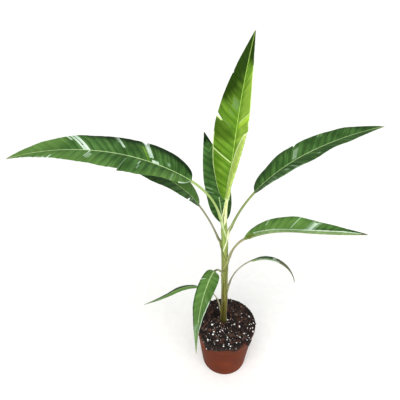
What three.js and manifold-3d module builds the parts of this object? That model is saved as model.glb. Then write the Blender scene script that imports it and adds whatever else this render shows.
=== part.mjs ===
// A young variegated banana plant in a plastic nursery pot filled with bark mix.
//
// Millimetres, +Z up, +X to the plant's right and +Y to its back. The origin is the
// middle of the pot's flat underside, so the pot stands on z = 0.
//
// One rule makes every leaf: a spine leaves the pseudostem and is turned by four
// elevations and four headings, at the stem, at the end of the petiole, halfway along
// the blade and at its tip. A round bar bent along the first part of the spine is the
// petiole, and a thin box bent along the rest is the blade. The numbers of a leaf are
// what a grower could measure on it: lengths, widths, angles, and where it is torn.

import * as THREE from "three";
import { mergeVertices } from "three/addons/utils/BufferGeometryUtils.js";
import Module from "manifold-3d";

const wasm = await Module();
wasm.setup();

// ---------------------------------------------------------------- driving dimensions

const GAP = 0.3; // between pieces that touch on the plant

// Nursery pot of 4 1/4 inch
const RIM_R = 54;
const POT_H = 102;
const BASE_R = 40.5;
const BODY_TOP_R = 52.4; // the wall's outer radius, carried up to the rim's height
const WALL = 1.5;
const FLOOR = 1.8;
const BAND_H = 20; // the stiffening band under the rim
const BAND_STEP = 0.9; // how far the band stands out at its lower edge
const DRAIN_HOLES = 6;
const DRAIN_R = 4;
const DRAIN_RING_R = 27;

// Bark mix
const SOIL_TOP = 103.6;
const SOIL_DOME = 1.2; // the mix is higher halfway to the rim than at the stem
const SOIL_ROUGH = 0.7;
const SEAT_R = 8.5; // level patch that the stem stands on
const BARE_RIM = [-162, 10]; // where the rim shows: degrees round the pot, half width
const COVER_R = 53.9; // elsewhere the mix lies on top of the rim
const SPILL_R = 55.8; // and over the front of it
const SPILL_FROM = -148; // degrees round the pot, 0 is +X and -90 the front
const SPILL_TO = -22;
const SPILL_DROP = 3; // how far the spill hangs below the rim
const SPILL_LUMPS = [
  // degrees round the pot, half width in degrees, how much further it hangs
  [-128, 9, 12],
  [-108, 8, 4],
  [-60, 9, 5],
  [-38, 6, 13],
];
const HOLLOW = { x: -16.3, y: 14, r: 6, depth: 4.5 }; // beside the stem

// Pseudostem: height, the axis' x, and radius
const STEM_Y = 4.3;
const STEM_FOOT = SOIL_TOP - 0.2;
const STEM_TOP = 341;
const STEM_LEAN = [
  [STEM_FOOT, -4.2],
  [156, -4.4],
  [206, -5.6],
  [252, -6.8],
  [294, -8.6],
  [323, -9.6],
  [STEM_TOP, -9.3],
];
const STEM_RADII = [
  [STEM_FOOT, 7.2],
  [112, 6.4],
  [156, 6.1],
  [285, 5.8],
  [312, 4.8],
  [328, 4],
  [STEM_TOP, 3.2],
];

// Leaves. The left side of a blade is on the left when looking from stem to tip.
//   height       where the petiole leaves the pseudostem
//   petiole      its length, and blade is the blade's
//   stalk        the petiole's radius at the stem and at the blade
//   rise         elevations in degrees: at the stem, blade base, mid-blade, tip
//   heading      compass headings in degrees at the same four places
//   roll         the blade's turn about its midrib: base, middle, tip
//   width        greatest half width, left and right
//   foldLeft     how far each half is folded up from flat: base, middle, tip
//   foldRight
//   droop        how far a margin bends down again
//   peak, blunt  where the blade is widest, and how full its base and tip are
//   tears        side (1 left, -1 right), place along the midrib, depth, half width
const LEAVES = [
  {
    name: "spear",
    height: STEM_TOP + 0.4,
    petiole: 23,
    blade: 232,
    stalk: [2.7, 2.1],
    rise: [91, 79, 78, 63],
    heading: [66, 66, 67, 66],
    roll: [-16, -6, -1],
    width: [33, 31],
    foldLeft: [12, 21, 14],
    foldRight: [62, 44, 45],
    droop: 21,
    peak: 0.7,
    blunt: [0.73, 0.96],
    tears: [
      [1, 0.455, 0.14, 0.014],
      [1, 0.7, 0.1, 0.012],
    ],
  },
  {
    name: "left_upper",
    height: 331,
    petiole: 87,
    blade: 255,
    stalk: [2.3, 1.8],
    rise: [84, 35, 8, -16],
    heading: [195, 184, 187, 189],
    roll: [-1, -2, -6],
    width: [32, 36],
    foldLeft: [18, 5, 20],
    foldRight: [23, 15, 36],
    droop: 18,
    peak: 0.65,
    blunt: [0.47, 0.96],
    tears: [
      [1, 0.376, 0.9, 0.012],
      [-1, 0.225, 0.28, 0.018],
    ],
  },
  {
    name: "left_under",
    height: 287,
    petiole: 76,
    blade: 154,
    stalk: [1.8, 1.5],
    rise: [75, 54, 13, 5],
    heading: [178, 172, 164, 163],
    roll: [13, 4, -1],
    width: [26, 26],
    foldLeft: [22, 16, 23],
    foldRight: [19, 20, 18],
    droop: 20,
    peak: 0.67,
    blunt: [0.57, 0.92],
    tears: [[1, 0.13, 0.4, 0.02]],
  },
  {
    name: "back",
    height: 315,
    petiole: 8,
    blade: 140,
    stalk: [2, 1.8],
    rise: [82, 72, 56, 43],
    heading: [118, 118, 117, 117],
    roll: [7, 4, 5],
    width: [21, 21],
    foldLeft: [22, 15, 18],
    foldRight: [12, 15, 14],
    droop: 20,
    peak: 0.67,
    blunt: [0.5, 0.96],
    tears: [],
  },
  {
    name: "right_upper",
    height: 309,
    petiole: 79,
    blade: 197,
    stalk: [2.2, 1.7],
    rise: [77, 52, 27, 10],
    heading: [13, 13, 12, 11],
    roll: [-12, -6, -3],
    width: [29, 30],
    foldLeft: [26, 24, 27],
    foldRight: [23, 16, 23],
    droop: 19,
    peak: 0.67,
    blunt: [0.58, 0.89],
    tears: [[1, 0.33, 0.16, 0.02]],
  },
  {
    name: "right_middle",
    height: 256,
    petiole: 60,
    blade: 176,
    stalk: [1.9, 1.6],
    rise: [87, 48, 5, 8],
    heading: [-31, -24, -9, -4],
    roll: [3, -3, -13],
    width: [23, 27],
    foldLeft: [25, 32, 28],
    foldRight: [56, 54, 63],
    droop: 19,
    peak: 0.75,
    blunt: [0.52, 0.82],
    tears: [],
  },
  {
    name: "right_low",
    height: 190,
    petiole: 71,
    blade: 99,
    stalk: [1.5, 1.2],
    rise: [89, 38, -26, -82],
    heading: [6, -1, -7, -11],
    roll: [-31, -27, -23],
    width: [10, 9],
    foldLeft: [14, 21, 23],
    foldRight: [14, 16, 10],
    droop: 20,
    peak: 0.62,
    blunt: [0.51, 0.92],
    tears: [],
  },
  {
    name: "front_left",
    height: 228,
    petiole: 49,
    blade: 152,
    stalk: [1.5, 1.4],
    rise: [63, 30, -72, -88],
    heading: [242, 257, 253, 250],
    roll: [-12, 16, 33],
    width: [15, 13],
    foldLeft: [-1, 49, 53],
    foldRight: [18, 17, 17],
    droop: 19,
    peak: 0.6,
    blunt: [0.54, 0.99],
    tears: [],
  },
  {
    name: "left_low",
    height: 135,
    petiole: 80,
    blade: 99,
    stalk: [1.5, 1.3],
    rise: [90, 34, -25, -8],
    heading: [200, 204, 203, 202],
    roll: [27, 31, 37],
    width: [11, 8],
    foldLeft: [10, 5, 10],
    foldRight: [12, 13, 14],
    droop: 21,
    peak: 0.63,
    blunt: [0.5, 0.9],
    tears: [],
  },
];

const VEIN_SLANT = 0.09; // veins reach the margin this share of the blade further on
const BLADE_THICK = 0.0105; // share of the blade's length, for a solid worth cutting
const TIP_HALF_WIDTH = 0.5;
const BLADE_ROWS = 18;
const COLUMNS = [-1, -0.6, -0.15, 0, 0.15, 0.6, 1];

const COLOURS = {
  pot: 0x8a4029,
  soil: 0x2a1e1a,
  stem: 0x7d8038,
  petiole: 0x8f9d62,
  spear: 0x8fbf35,
  leaf: 0x4a7534,
};

// ---------------------------------------------------------------- small tools

const rad = THREE.MathUtils.degToRad;
const { lerp, clamp, smoothstep } = THREE.MathUtils;

// Straight-line interpolation in a list of [place, value].
function along(list, place) {
  const i = clamp(
    list.findIndex(([at]) => at > place),
    1,
    list.length - 1,
  );
  const [a, from] = list[place >= list[list.length - 1][0] ? list.length - 2 : i - 1];
  const [b, to] = list[place >= list[list.length - 1][0] ? list.length - 1 : i];
  return lerp(from, to, clamp((place - a) / (b - a), 0, 1));
}

function bell(x, middle, width) {
  return Math.exp(-0.5 * ((x - middle) / width) ** 2);
}

// Moves every vertex of a geometry by a rule that gets the vertex and changes it.
function reshape(geometry, rule) {
  const places = geometry.attributes.position;
  const v = new THREE.Vector3();
  for (let i = 0; i < places.count; i++) {
    v.fromBufferAttribute(places, i);
    rule(v);
    places.setXYZ(i, v.x, v.y, v.z);
  }
  return geometry;
}

// A lathe about the Z axis from [radius, height] pairs.
function turned(profile, segments) {
  const points = profile.map(([r, z]) => new THREE.Vector2(Math.max(r, 0), z));
  return new THREE.LatheGeometry(points, segments).rotateX(Math.PI / 2);
}

// A closed geometry as a manifold-3d solid.
function solid(geometry) {
  const bare = geometry.clone();
  bare.deleteAttribute("normal");
  bare.deleteAttribute("uv");
  const merged = mergeVertices(bare, 1e-3);
  return new wasm.Manifold(
    new wasm.Mesh({
      numProp: 3,
      vertProperties: new Float32Array(merged.attributes.position.array),
      triVerts: new Uint32Array(merged.index.array),
    }),
  );
}

// And back to a geometry.
function geometryOf(manifold) {
  const mesh = manifold.getMesh();
  return new THREE.BufferGeometry()
    .setAttribute("position", new THREE.BufferAttribute(mesh.vertProperties, 3))
    .setIndex(new THREE.BufferAttribute(mesh.triVerts, 1));
}

const plant = new THREE.Group();

function add(name, geometry, color, roughness) {
  const material = new THREE.MeshStandardMaterial({ color, roughness, metalness: 0 });
  const mesh = new THREE.Mesh(geometry, material);
  mesh.name = name;
  plant.add(mesh);
}

// ---------------------------------------------------------------- pot

const bodyR = (z) => lerp(BASE_R, BODY_TOP_R, z / POT_H);

// The shell's section, closed on the axis. `grow` makes the room that the mix keeps.
function potProfile(grow) {
  const bandZ = POT_H - BAND_H;
  return [
    [0, -grow],
    [BASE_R - 0.8, -grow],
    [BASE_R + grow, 0.8],
    [bodyR(bandZ - 1) + grow, bandZ - 1],
    [bodyR(bandZ) + BAND_STEP + grow, bandZ],
    [RIM_R + grow, POT_H - 0.6],
    [RIM_R - 0.5 + grow, POT_H + grow],
    [bodyR(POT_H) - WALL - grow, POT_H + grow],
    [bodyR(POT_H - 4) - WALL - grow, POT_H - 4],
    [bodyR(FLOOR) - WALL - grow, FLOOR + grow],
    [0, FLOOR + grow],
  ];
}

let pot = solid(turned(potProfile(0), 56));
for (let i = 0; i < DRAIN_HOLES; i++) {
  const turn = ((i + 0.5) / DRAIN_HOLES) * 2 * Math.PI;
  const hole = new THREE.CylinderGeometry(DRAIN_R, DRAIN_R, 4 * FLOOR, 16)
    .rotateX(Math.PI / 2)
    .translate(DRAIN_RING_R * Math.cos(turn), DRAIN_RING_R * Math.sin(turn), 0);
  pot = pot.subtract(solid(hole));
}
add("pot", geometryOf(pot), COLOURS.pot, 0.5);

// ---------------------------------------------------------------- bark mix

// 1 where the mix lies on the rim, 0 where it stays inside.
function coverAt(turn) {
  const [middle, half] = BARE_RIM;
  return smoothstep(Math.abs(turn - middle), half, half + 8);
}

// 1 where it also hangs over the rim, and the height it hangs down to.
function spillAt(turn) {
  const start = smoothstep(turn, SPILL_FROM - 8, SPILL_FROM);
  return start * (1 - smoothstep(turn, SPILL_TO, SPILL_TO + 12));
}

function spillLow(turn) {
  const lumps = SPILL_LUMPS.map(([at, width, drop]) => drop * bell(turn, at, width));
  return POT_H - SPILL_DROP - lumps.reduce((sum, lump) => sum + lump, 0);
}

// The mix fills the pot to the middle of its wall, and the shell is then cut away.
const MOUND = [46, 38, 30, 22, 15, 9];
const midWall = (z) => bodyR(z) - WALL / 2;
const mixProfile = [
  [0, FLOOR / 2],
  [midWall(0), FLOOR / 2],
  [midWall(40), 40],
  [midWall(78), 78],
  [1001, 0], // the four places from here turn with the spill
  [1002, 0],
  [1003, 0],
  [1004, 0],
  ...MOUND.map((r) => [r, SOIL_TOP]),
  [0, SOIL_TOP],
];

function shapeMix(v) {
  const r = Math.hypot(v.x, v.y);
  const angle = Math.atan2(v.y, v.x);
  const turn = THREE.MathUtils.radToDeg(angle);
  const over = coverAt(turn);
  const spill = spillAt(turn);
  const low = lerp(96, lerp(POT_H + 2 * GAP, spillLow(turn), spill), over);
  const edge = lerp(COVER_R, SPILL_R, spill);
  const shoulder = lerp(POT_H + 1.4, POT_H - 0.4, spill);
  const rough = Math.sin(5 * angle + 0.09 * r) + Math.sin(11 * angle - 0.3 * r + 1.3);
  const place = Math.round(r - 1000);
  let to = [r, v.z];
  if (place === 1) to = [midWall(low), low];
  if (place === 2) to = [lerp(50.4, edge, over), lerp(99, low + 0.4, over)];
  if (place === 3) to = [lerp(50.4, edge + 0.2, over), lerp(102, shoulder, over)];
  if (place === 4) to = [lerp(49.8, 52, over), lerp(103.6, 104.8, over) + 0.3 * rough];
  if (place < 0 && v.z > 80 && r > 8.9) {
    to[1] += SOIL_DOME * Math.sin((Math.PI * r) / RIM_R) + 0.5 * SOIL_ROUGH * rough;
  }
  v.x = to[0] * Math.cos(angle);
  v.y = to[0] * Math.sin(angle);
  const fromHollow = Math.hypot(v.x - HOLLOW.x, v.y - HOLLOW.y);
  v.z = to[1] - (to[1] > 100 ? HOLLOW.depth * bell(fromHollow, 0, HOLLOW.r) : 0);
}

const SEAT_Z = STEM_FOOT - GAP;
const seat = new THREE.CylinderGeometry(SEAT_R, SEAT_R, 20, 24)
  .rotateX(Math.PI / 2)
  .translate(along(STEM_LEAN, STEM_FOOT), STEM_Y, SEAT_Z + 10);
const mix = solid(reshape(turned(mixProfile, 60), shapeMix))
  .subtract(solid(turned(potProfile(GAP), 56)))
  .subtract(solid(seat));
add("soil", geometryOf(mix), COLOURS.soil, 0.95);

// ---------------------------------------------------------------- pseudostem

const stemX = (z) => along(STEM_LEAN, z);
const stemR = (z) => along(STEM_RADII, z);

const stem = reshape(new THREE.CylinderGeometry(1, 1, 1, 16, 20).rotateX(Math.PI / 2), (v) => {
  const z = lerp(STEM_FOOT, STEM_TOP, v.z + 0.5);
  v.x = stemX(z) + v.x * stemR(z);
  v.y = STEM_Y + v.y * stemR(z);
  v.z = z;
});
add("pseudostem", stem, COLOURS.stem, 0.6);

// ---------------------------------------------------------------- leaves

// The spine of a leaf: a curve by arc length, with a frame of three directions.
class Spine {
  constructor(leaf) {
    const { petiole, blade, rise, heading, roll } = leaf;
    this.length = petiole + blade;
    const knots = [0, petiole, petiole + blade / 2, this.length];
    this.rise = knots.map((s, i) => [s, rad(rise[i])]);
    this.heading = knots.map((s, i) => [s, rad(heading[i])]);
    this.roll = knots.slice(1).map((s, i) => [s, rad(roll[i])]);
    const turn = rad(heading[0]);
    const out = leaf.name === "spear" ? 0 : stemR(leaf.height) + GAP + leaf.stalk[0];
    let at = new THREE.Vector3(
      stemX(leaf.height) + out * Math.cos(turn),
      STEM_Y + out * Math.sin(turn),
      leaf.height,
    );
    this.points = [at];
    this.step = this.length / 240;
    for (let i = 0; i < 240; i++) {
      at = at.clone().addScaledVector(this.forward((i + 0.5) * this.step), this.step);
      this.points.push(at);
    }
  }

  forward(s) {
    const up = along(this.rise, s);
    const turn = along(this.heading, s);
    return new THREE.Vector3(
      Math.cos(up) * Math.cos(turn),
      Math.cos(up) * Math.sin(turn),
      Math.sin(up),
    );
  }

  // The point at s, with the directions forward, to the left and up out of the blade.
  frame(s) {
    const i = clamp(Math.floor(s / this.step), 0, this.points.length - 2);
    const point = this.points[i].clone().lerp(this.points[i + 1], s / this.step - i);
    const forward = this.forward(s);
    const turn = along(this.heading, s);
    const level = new THREE.Vector3(-Math.sin(turn), Math.cos(turn), 0);
    const roll = along(this.roll, s);
    const left = level.clone().applyAxisAngle(forward, roll);
    const up = forward.clone().cross(left);
    return { point, forward, left, up };
  }
}

function petiole(leaf, spine) {
  const bar = new THREE.CylinderGeometry(1, 1, 1, 10, leaf.petiole > 30 ? 12 : 4);
  return reshape(bar, (v) => {
    const s = (v.y + 0.5) * leaf.petiole;
    const { point, left, up } = spine.frame(s);
    const r = lerp(leaf.stalk[1], leaf.stalk[0], Math.exp(-s / 18));
    const across = v.x * r;
    const outward = -v.z * r;
    v.copy(point).addScaledVector(left, across).addScaledVector(up, outward);
  });
}

// Half width of a blade at u of its length, as a share of the greatest.
function outline(leaf, u) {
  const [base, tip] = leaf.blunt;
  return Math.sin(Math.PI * clamp(u, 1e-6, 1 - 1e-6) ** leaf.peak) ** lerp(base, tip, u);
}

// Sideways and upward reach at the share v of a half blade that is folded and droops.
function crossSection(fold, droop, v) {
  const steps = 8;
  let sideways = 0;
  let upward = 0;
  for (let i = 0; i < steps; i++) {
    const angle = rad(fold - (droop * v * (i + 0.5)) / steps);
    sideways += (Math.cos(angle) * v) / steps;
    upward += (Math.sin(angle) * v) / steps;
  }
  return { sideways, upward, angle: rad(fold - droop * v) };
}

function blade(leaf, spine) {
  const rows = [];
  for (let i = 0; i <= BLADE_ROWS; i++) {
    const even = i / BLADE_ROWS;
    rows.push(lerp(even, (1 - Math.cos(Math.PI * even)) / 2, 0.6));
  }
  for (const [, at, , half] of leaf.tears) {
    rows.push(at - half, at, at + half);
  }
  rows.sort((a, b) => a - b);
  const thick = BLADE_THICK * leaf.blade;
  const count = rows.length - 1;
  const slab = new THREE.BoxGeometry(1, 2, 1, count, COLUMNS.length - 1, 1);
  return reshape(slab, (v) => {
    const row = rows[Math.round((v.x + 0.5) * count)];
    const column = COLUMNS[Math.round(((v.y + 1) / 2) * (COLUMNS.length - 1))];
    const side = Math.sign(column);
    let share = Math.abs(column);
    for (const [torn, at, depth] of leaf.tears) {
      if (torn === side && row === at) share = Math.min(share, 1 - depth * share);
    }
    const u = row + VEIN_SLANT * share * 4 * row * (1 - row);
    const { point, left, up } = spine.frame(leaf.petiole + GAP + u * (leaf.blade - GAP));
    const half = side > 0 ? 0 : 1;
    const neck = leaf.stalk[1] * (1 - u) ** 4;
    const reach = Math.hypot(leaf.width[half] * outline(leaf, u), neck) + TIP_HALF_WIDTH * u;
    const folds = side > 0 ? leaf.foldLeft : leaf.foldRight;
    const fold = along(folds.map((value, i) => [i / 2, value]), u);
    const { sideways, upward, angle } = crossSection(fold, leaf.droop, share);
    const keel = column === 0 ? leaf.stalk[1] * (1 - u) : 0;
    const off = v.z > 0 ? thick / 2 : -thick / 2 - keel;
    v.copy(point)
      .addScaledVector(left, side * (sideways * reach - Math.sin(angle) * off))
      .addScaledVector(up, upward * reach + Math.cos(angle) * off);
  });
}

for (const leaf of LEAVES) {
  const spine = new Spine(leaf);
  const green = leaf.name === "spear" ? COLOURS.spear : COLOURS.leaf;
  add("petiole_" + leaf.name, petiole(leaf, spine), COLOURS.petiole, 0.55);
  add("blade_" + leaf.name, blade(leaf, spine), green, 0.5);
}

export default plant;
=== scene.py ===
# %% [markdown]
# # A young variegated banana plant in a nursery pot
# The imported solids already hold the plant's true places and sizes. Here every one of
# them gets its living surface: a moulded pot, a loose bark mix, a pseudostem wrapped in
# leaf sheaths, channelled petioles, and thin blades with veins, tears and white streaks.
# The script works in metres, with Z up and the pot standing on z = 0.

# %% Load the frame
import math
import random

import bpy
import numpy as np
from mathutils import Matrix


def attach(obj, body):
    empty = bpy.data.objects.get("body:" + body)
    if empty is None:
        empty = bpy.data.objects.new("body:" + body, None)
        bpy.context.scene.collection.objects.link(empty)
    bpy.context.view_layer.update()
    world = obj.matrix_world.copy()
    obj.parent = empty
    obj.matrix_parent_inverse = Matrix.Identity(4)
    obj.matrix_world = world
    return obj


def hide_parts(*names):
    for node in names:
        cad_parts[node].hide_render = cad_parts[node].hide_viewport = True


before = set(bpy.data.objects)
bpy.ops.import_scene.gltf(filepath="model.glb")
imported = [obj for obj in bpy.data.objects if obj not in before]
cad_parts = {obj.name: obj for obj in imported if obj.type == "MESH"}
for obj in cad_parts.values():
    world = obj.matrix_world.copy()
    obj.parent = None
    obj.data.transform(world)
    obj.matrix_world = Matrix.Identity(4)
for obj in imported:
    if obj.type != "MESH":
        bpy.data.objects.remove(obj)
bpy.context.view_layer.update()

MM = 0.001
print("nodes in the frame:", len(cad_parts))

# %% [markdown]
# ## Camera
# The plant is seen at a slant from above, from about 60 cm away. The lens is as long as
# the sensor is wide, so one unit of depth shows one unit of width.

# %% Place the camera
CAMERA_PLACE = (0.0, -0.465, 0.702)
LOOK_DOWN = 35.4
TURN_LEFT = 5.7

camera_data = bpy.data.cameras.new("studio_camera")
camera_data.lens = 36
camera_data.sensor_width = 36
camera = bpy.data.objects.new("studio_camera", camera_data)
bpy.context.scene.collection.objects.link(camera)
camera.location = CAMERA_PLACE
camera.rotation_euler = (math.radians(90 - LOOK_DOWN), 0, math.radians(TURN_LEFT))
bpy.context.scene.camera = camera
print("camera at", CAMERA_PLACE)

# %% [markdown]
# ## Small tools
# Operators act on whatever is selected, and the frame's nodes come in selected, so each
# piece starts by letting go of everything. `sculpt` hands all the points of a mesh to a
# rule as one array, which is how a flat grid becomes a leaf.


# %% Selecting, shaping and finishing
def let_go():
    if bpy.context.object and bpy.context.object.mode != "OBJECT":
        bpy.ops.object.mode_set(mode="OBJECT")
    bpy.ops.object.select_all(action="DESELECT")


def points_of(piece):
    flat = np.empty(len(piece.data.vertices) * 3)
    piece.data.vertices.foreach_get("co", flat)
    return flat.reshape(-1, 3)


def sculpt(piece, points):
    piece.data.vertices.foreach_set("co", np.asarray(points, float).ravel())
    piece.data.update()


def pick(piece, kind, chosen):
    """Selects faces, edges or vertices by a list of True and False, ready for edit mode."""
    kinds = ("vertices", "edges", "polygons")
    bpy.context.tool_settings.mesh_select_mode = [part == kind for part in kinds]
    for part in kinds:
        elements = getattr(piece.data, part)
        picked = chosen if part == kind else [False] * len(elements)
        elements.foreach_set("select", [bool(c) for c in picked])


def edit(operator, **settings):
    """Runs one edit-mode operator on what is selected in the active piece."""
    bpy.ops.object.mode_set(mode="EDIT")
    operator(**settings)
    bpy.ops.object.mode_set(mode="OBJECT")


def close_and_turn_out(gap=0.00001):
    """Merges the active piece's doubled points and turns every face outwards."""
    bpy.ops.object.mode_set(mode="EDIT")
    bpy.ops.mesh.select_all(action="SELECT")
    bpy.ops.mesh.remove_doubles(threshold=gap)
    bpy.ops.mesh.normals_make_consistent(inside=False)
    bpy.ops.object.mode_set(mode="OBJECT")


def settle(piece, modifier):
    """Applies a modifier, so that its work becomes part of the mesh."""
    bpy.context.view_layer.objects.active = piece
    bpy.ops.object.modifier_apply(modifier=modifier.name)


def smooth(piece, angle):
    let_go()
    piece.select_set(True)
    bpy.context.view_layer.objects.active = piece
    bpy.ops.object.shade_smooth_by_angle(angle=math.radians(angle))


def dress(piece, *materials):
    """Gives the piece its materials, in the order of its faces' material numbers."""
    piece.data.materials.clear()
    for material in materials:
        piece.data.materials.append(material)


def hand_over(piece, name, slot, *nodes):
    """Names the piece, hangs it under the root and hides the frame's nodes that it
    replaces; its slot is not used.
    """
    piece.name = name
    piece.data.name = name
    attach(piece, "root")
    if nodes:
        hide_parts(*nodes)
    piece.data.calc_loop_triangles()
    print(name, "has", len(piece.data.loop_triangles), "triangles")


# %% Soft steps between numbers
def step(x, low, high):
    """0 below low, 1 above high, and a soft ramp between."""
    t = np.clip((np.asarray(x, float) - low) / (high - low), 0, 1)
    return t * t * (3 - 2 * t)


def bell(x, middle, width):
    return np.exp(-0.5 * ((np.asarray(x, float) - middle) / width) ** 2)


def mix(a, b, t):
    return a + (b - a) * t


print("half way up a step from 2 to 4:", float(step(3, 2, 4)))

# %% [markdown]
# ## Material tools
# Colours are written as the sRGB hex that an eye would pick, and one function turns
# them to the linear numbers that a shader works in. A pattern's scale comes from the
# size of its cells in millimetres. `add` adds a node, and `plug` fills in its sockets
# and makes its links, also for the shader that a new material already has.


# %% Colours and nodes
def linear(colour):
    shares = [int(colour[i : i + 2], 16) / 255 for i in (0, 2, 4)]
    lin = [c / 12.92 if c <= 0.04045 else ((c + 0.055) / 1.055) ** 2.4 for c in shares]
    return (*lin, 1.0)


def cells(*sizes):
    """A pattern's scale from the millimetres of a cell: one, or one for each axis."""
    scales = [1000 / size for size in sizes]
    return scales if len(sizes) > 1 else scales[0]


def new_material(name):
    """A material with only its shader; returns it, its tree and the shader node."""
    material = bpy.data.materials.new(name)
    material.use_nodes = True
    tree = material.node_tree
    return material, tree, tree.nodes["Principled BSDF"]


def plug(node, sockets):
    """Each socket takes a number, a hex colour or another node's output."""
    for key, value in sockets.items():
        if isinstance(value, bpy.types.NodeSocket):
            node.id_data.links.new(value, node.inputs[key])
        else:
            value = linear(value) if isinstance(value, str) else value
            node.inputs[key].default_value = value


def add(tree, kind, sockets, output=0, stops=(), **settings):
    """Adds a node with its settings and links, and returns one of its outputs.

    Sockets come as a dictionary, or as a list in the node's own order. A colour ramp
    also has its stops, as places and hex colours.
    """
    node = tree.nodes.new("ShaderNode" + kind)
    for key, value in settings.items():
        setattr(node, key, value)
    plug(node, sockets if isinstance(sockets, dict) else dict(enumerate(sockets)))
    for _ in stops[2:]:
        node.color_ramp.elements.new(0.5)
    for number, (place, colour) in enumerate(stops):
        node.color_ramp.elements[number].position = place
        node.color_ramp.elements[number].color = linear(colour)
    return node.outputs[output]


# The sockets of a Mix node that take two colours, and the one that gives their mix
UNDER, OVER, MIXED = 6, 7, 2
print("mid grey 808080 is", round(linear("808080")[0], 3), "in linear light")

# %% [markdown]
# ## The pot
# A 4 1/4 inch nursery pot is blown or injection moulded from thin polypropylene. Its
# wall tapers so that pots nest, a band under the rim makes it stiff, and six holes
# drain it. It is drawn here as it would be turned: one round face, pulled up ring by
# ring along the outside, over the rim and down the inside, then drilled.

# %% Pot sizes
POT_HEIGHT = 102
FOOT_RADIUS = 38.6
RIM_RADIUS = 54
BASE_RADIUS = 40.5
BODY_TOP_RADIUS = 52.4
WALL = 1.5
FLOOR = 1.8
BAND_HEIGHT = 20
BAND_STEP = 0.9
DRAIN_HOLES = 6
DRAIN_RADIUS = 4
DRAIN_RING = 27


def body_radius(z):
    return mix(BASE_RADIUS, BODY_TOP_RADIUS, z / POT_HEIGHT)


print("the wall's radius half way up:", body_radius(POT_HEIGHT / 2), "mm")

# %% Pull the pot up from a disc
def pull_up(sides, radius, height, rings):
    """A disc pulled up through rings of (radius, height), all in millimetres."""
    let_go()
    bpy.ops.mesh.primitive_circle_add(
        vertices=sides, radius=radius * MM, fill_type="NGON", location=(0, 0, 0)
    )
    bpy.ops.object.mode_set(mode="EDIT")
    bpy.ops.mesh.select_all(action="SELECT")
    bpy.ops.transform.translate(value=(0, 0, height * MM))
    for next_radius, next_height in rings:
        bpy.ops.mesh.extrude_region_move()
        bpy.ops.transform.translate(value=(0, 0, (next_height - height) * MM))
        grow = next_radius / radius
        bpy.ops.transform.resize(value=(grow, grow, 1))
        radius, height = next_radius, next_height
    bpy.ops.object.mode_set(mode="OBJECT")
    close_and_turn_out()
    return bpy.context.object


band_foot = POT_HEIGHT - BAND_HEIGHT
POT_PROFILE = [
    # Round the foot and up the outside
    (39.2, 0),
    (39.9, 0.15),
    (40.4, 0.7),
    *[(body_radius(z) + 0.02, z) for z in (3, 20, 40, 60, 74)],
    # Out to the band
    (body_radius(band_foot - 1.2), band_foot - 1.2),
    (body_radius(band_foot) + 0.35, band_foot - 0.35),
    (body_radius(band_foot) + BAND_STEP, band_foot + 0.35),
    (body_radius(band_foot + 5) + BAND_STEP, band_foot + 5),
    # Over the rim
    (RIM_RADIUS - 0.15, 95),
    (RIM_RADIUS, 100.6),
    (RIM_RADIUS - 0.1, 101.5),
    (RIM_RADIUS - 0.5, POT_HEIGHT),
    (body_radius(POT_HEIGHT) - 0.8, POT_HEIGHT),
    # Down the inside to the floor
    (body_radius(POT_HEIGHT) - WALL, 101.4),
    (body_radius(98) - WALL, 98),
    *[(body_radius(z) - WALL, z) for z in (80, 50, 20)],
    (body_radius(FLOOR) - WALL, FLOOR),
]
pot = pull_up(144, FOOT_RADIUS, 0, POT_PROFILE)
print("pot pulled up through", len(POT_PROFILE), "rings")

# %% Drill the drain holes
for i in range(DRAIN_HOLES):
    turn = (i + 0.5) / DRAIN_HOLES * 2 * math.pi
    bpy.ops.mesh.primitive_cylinder_add(
        vertices=32,
        radius=DRAIN_RADIUS * MM,
        depth=4 * FLOOR * MM,
        location=(DRAIN_RING * MM * math.cos(turn), DRAIN_RING * MM * math.sin(turn), 0),
    )
    drill = bpy.context.object
    hole = pot.modifiers.new("drain_hole", "BOOLEAN")
    hole.operation = "DIFFERENCE"
    hole.solver = "EXACT"
    hole.object = drill
    settle(pot, hole)
    bpy.data.objects.remove(drill)
smooth(pot, 30)
print("drilled", DRAIN_HOLES, "holes of", 2 * DRAIN_RADIUS, "mm")

# %% [markdown]
# ### Moulded polypropylene
# The plastic is pigmented through, so its red brown hardly varies. What tells the eye
# that it is a used pot is a dull satin gloss, the fine texture of the mould with dust
# caught in it, and the wet peat that has run down from the rim.


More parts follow.
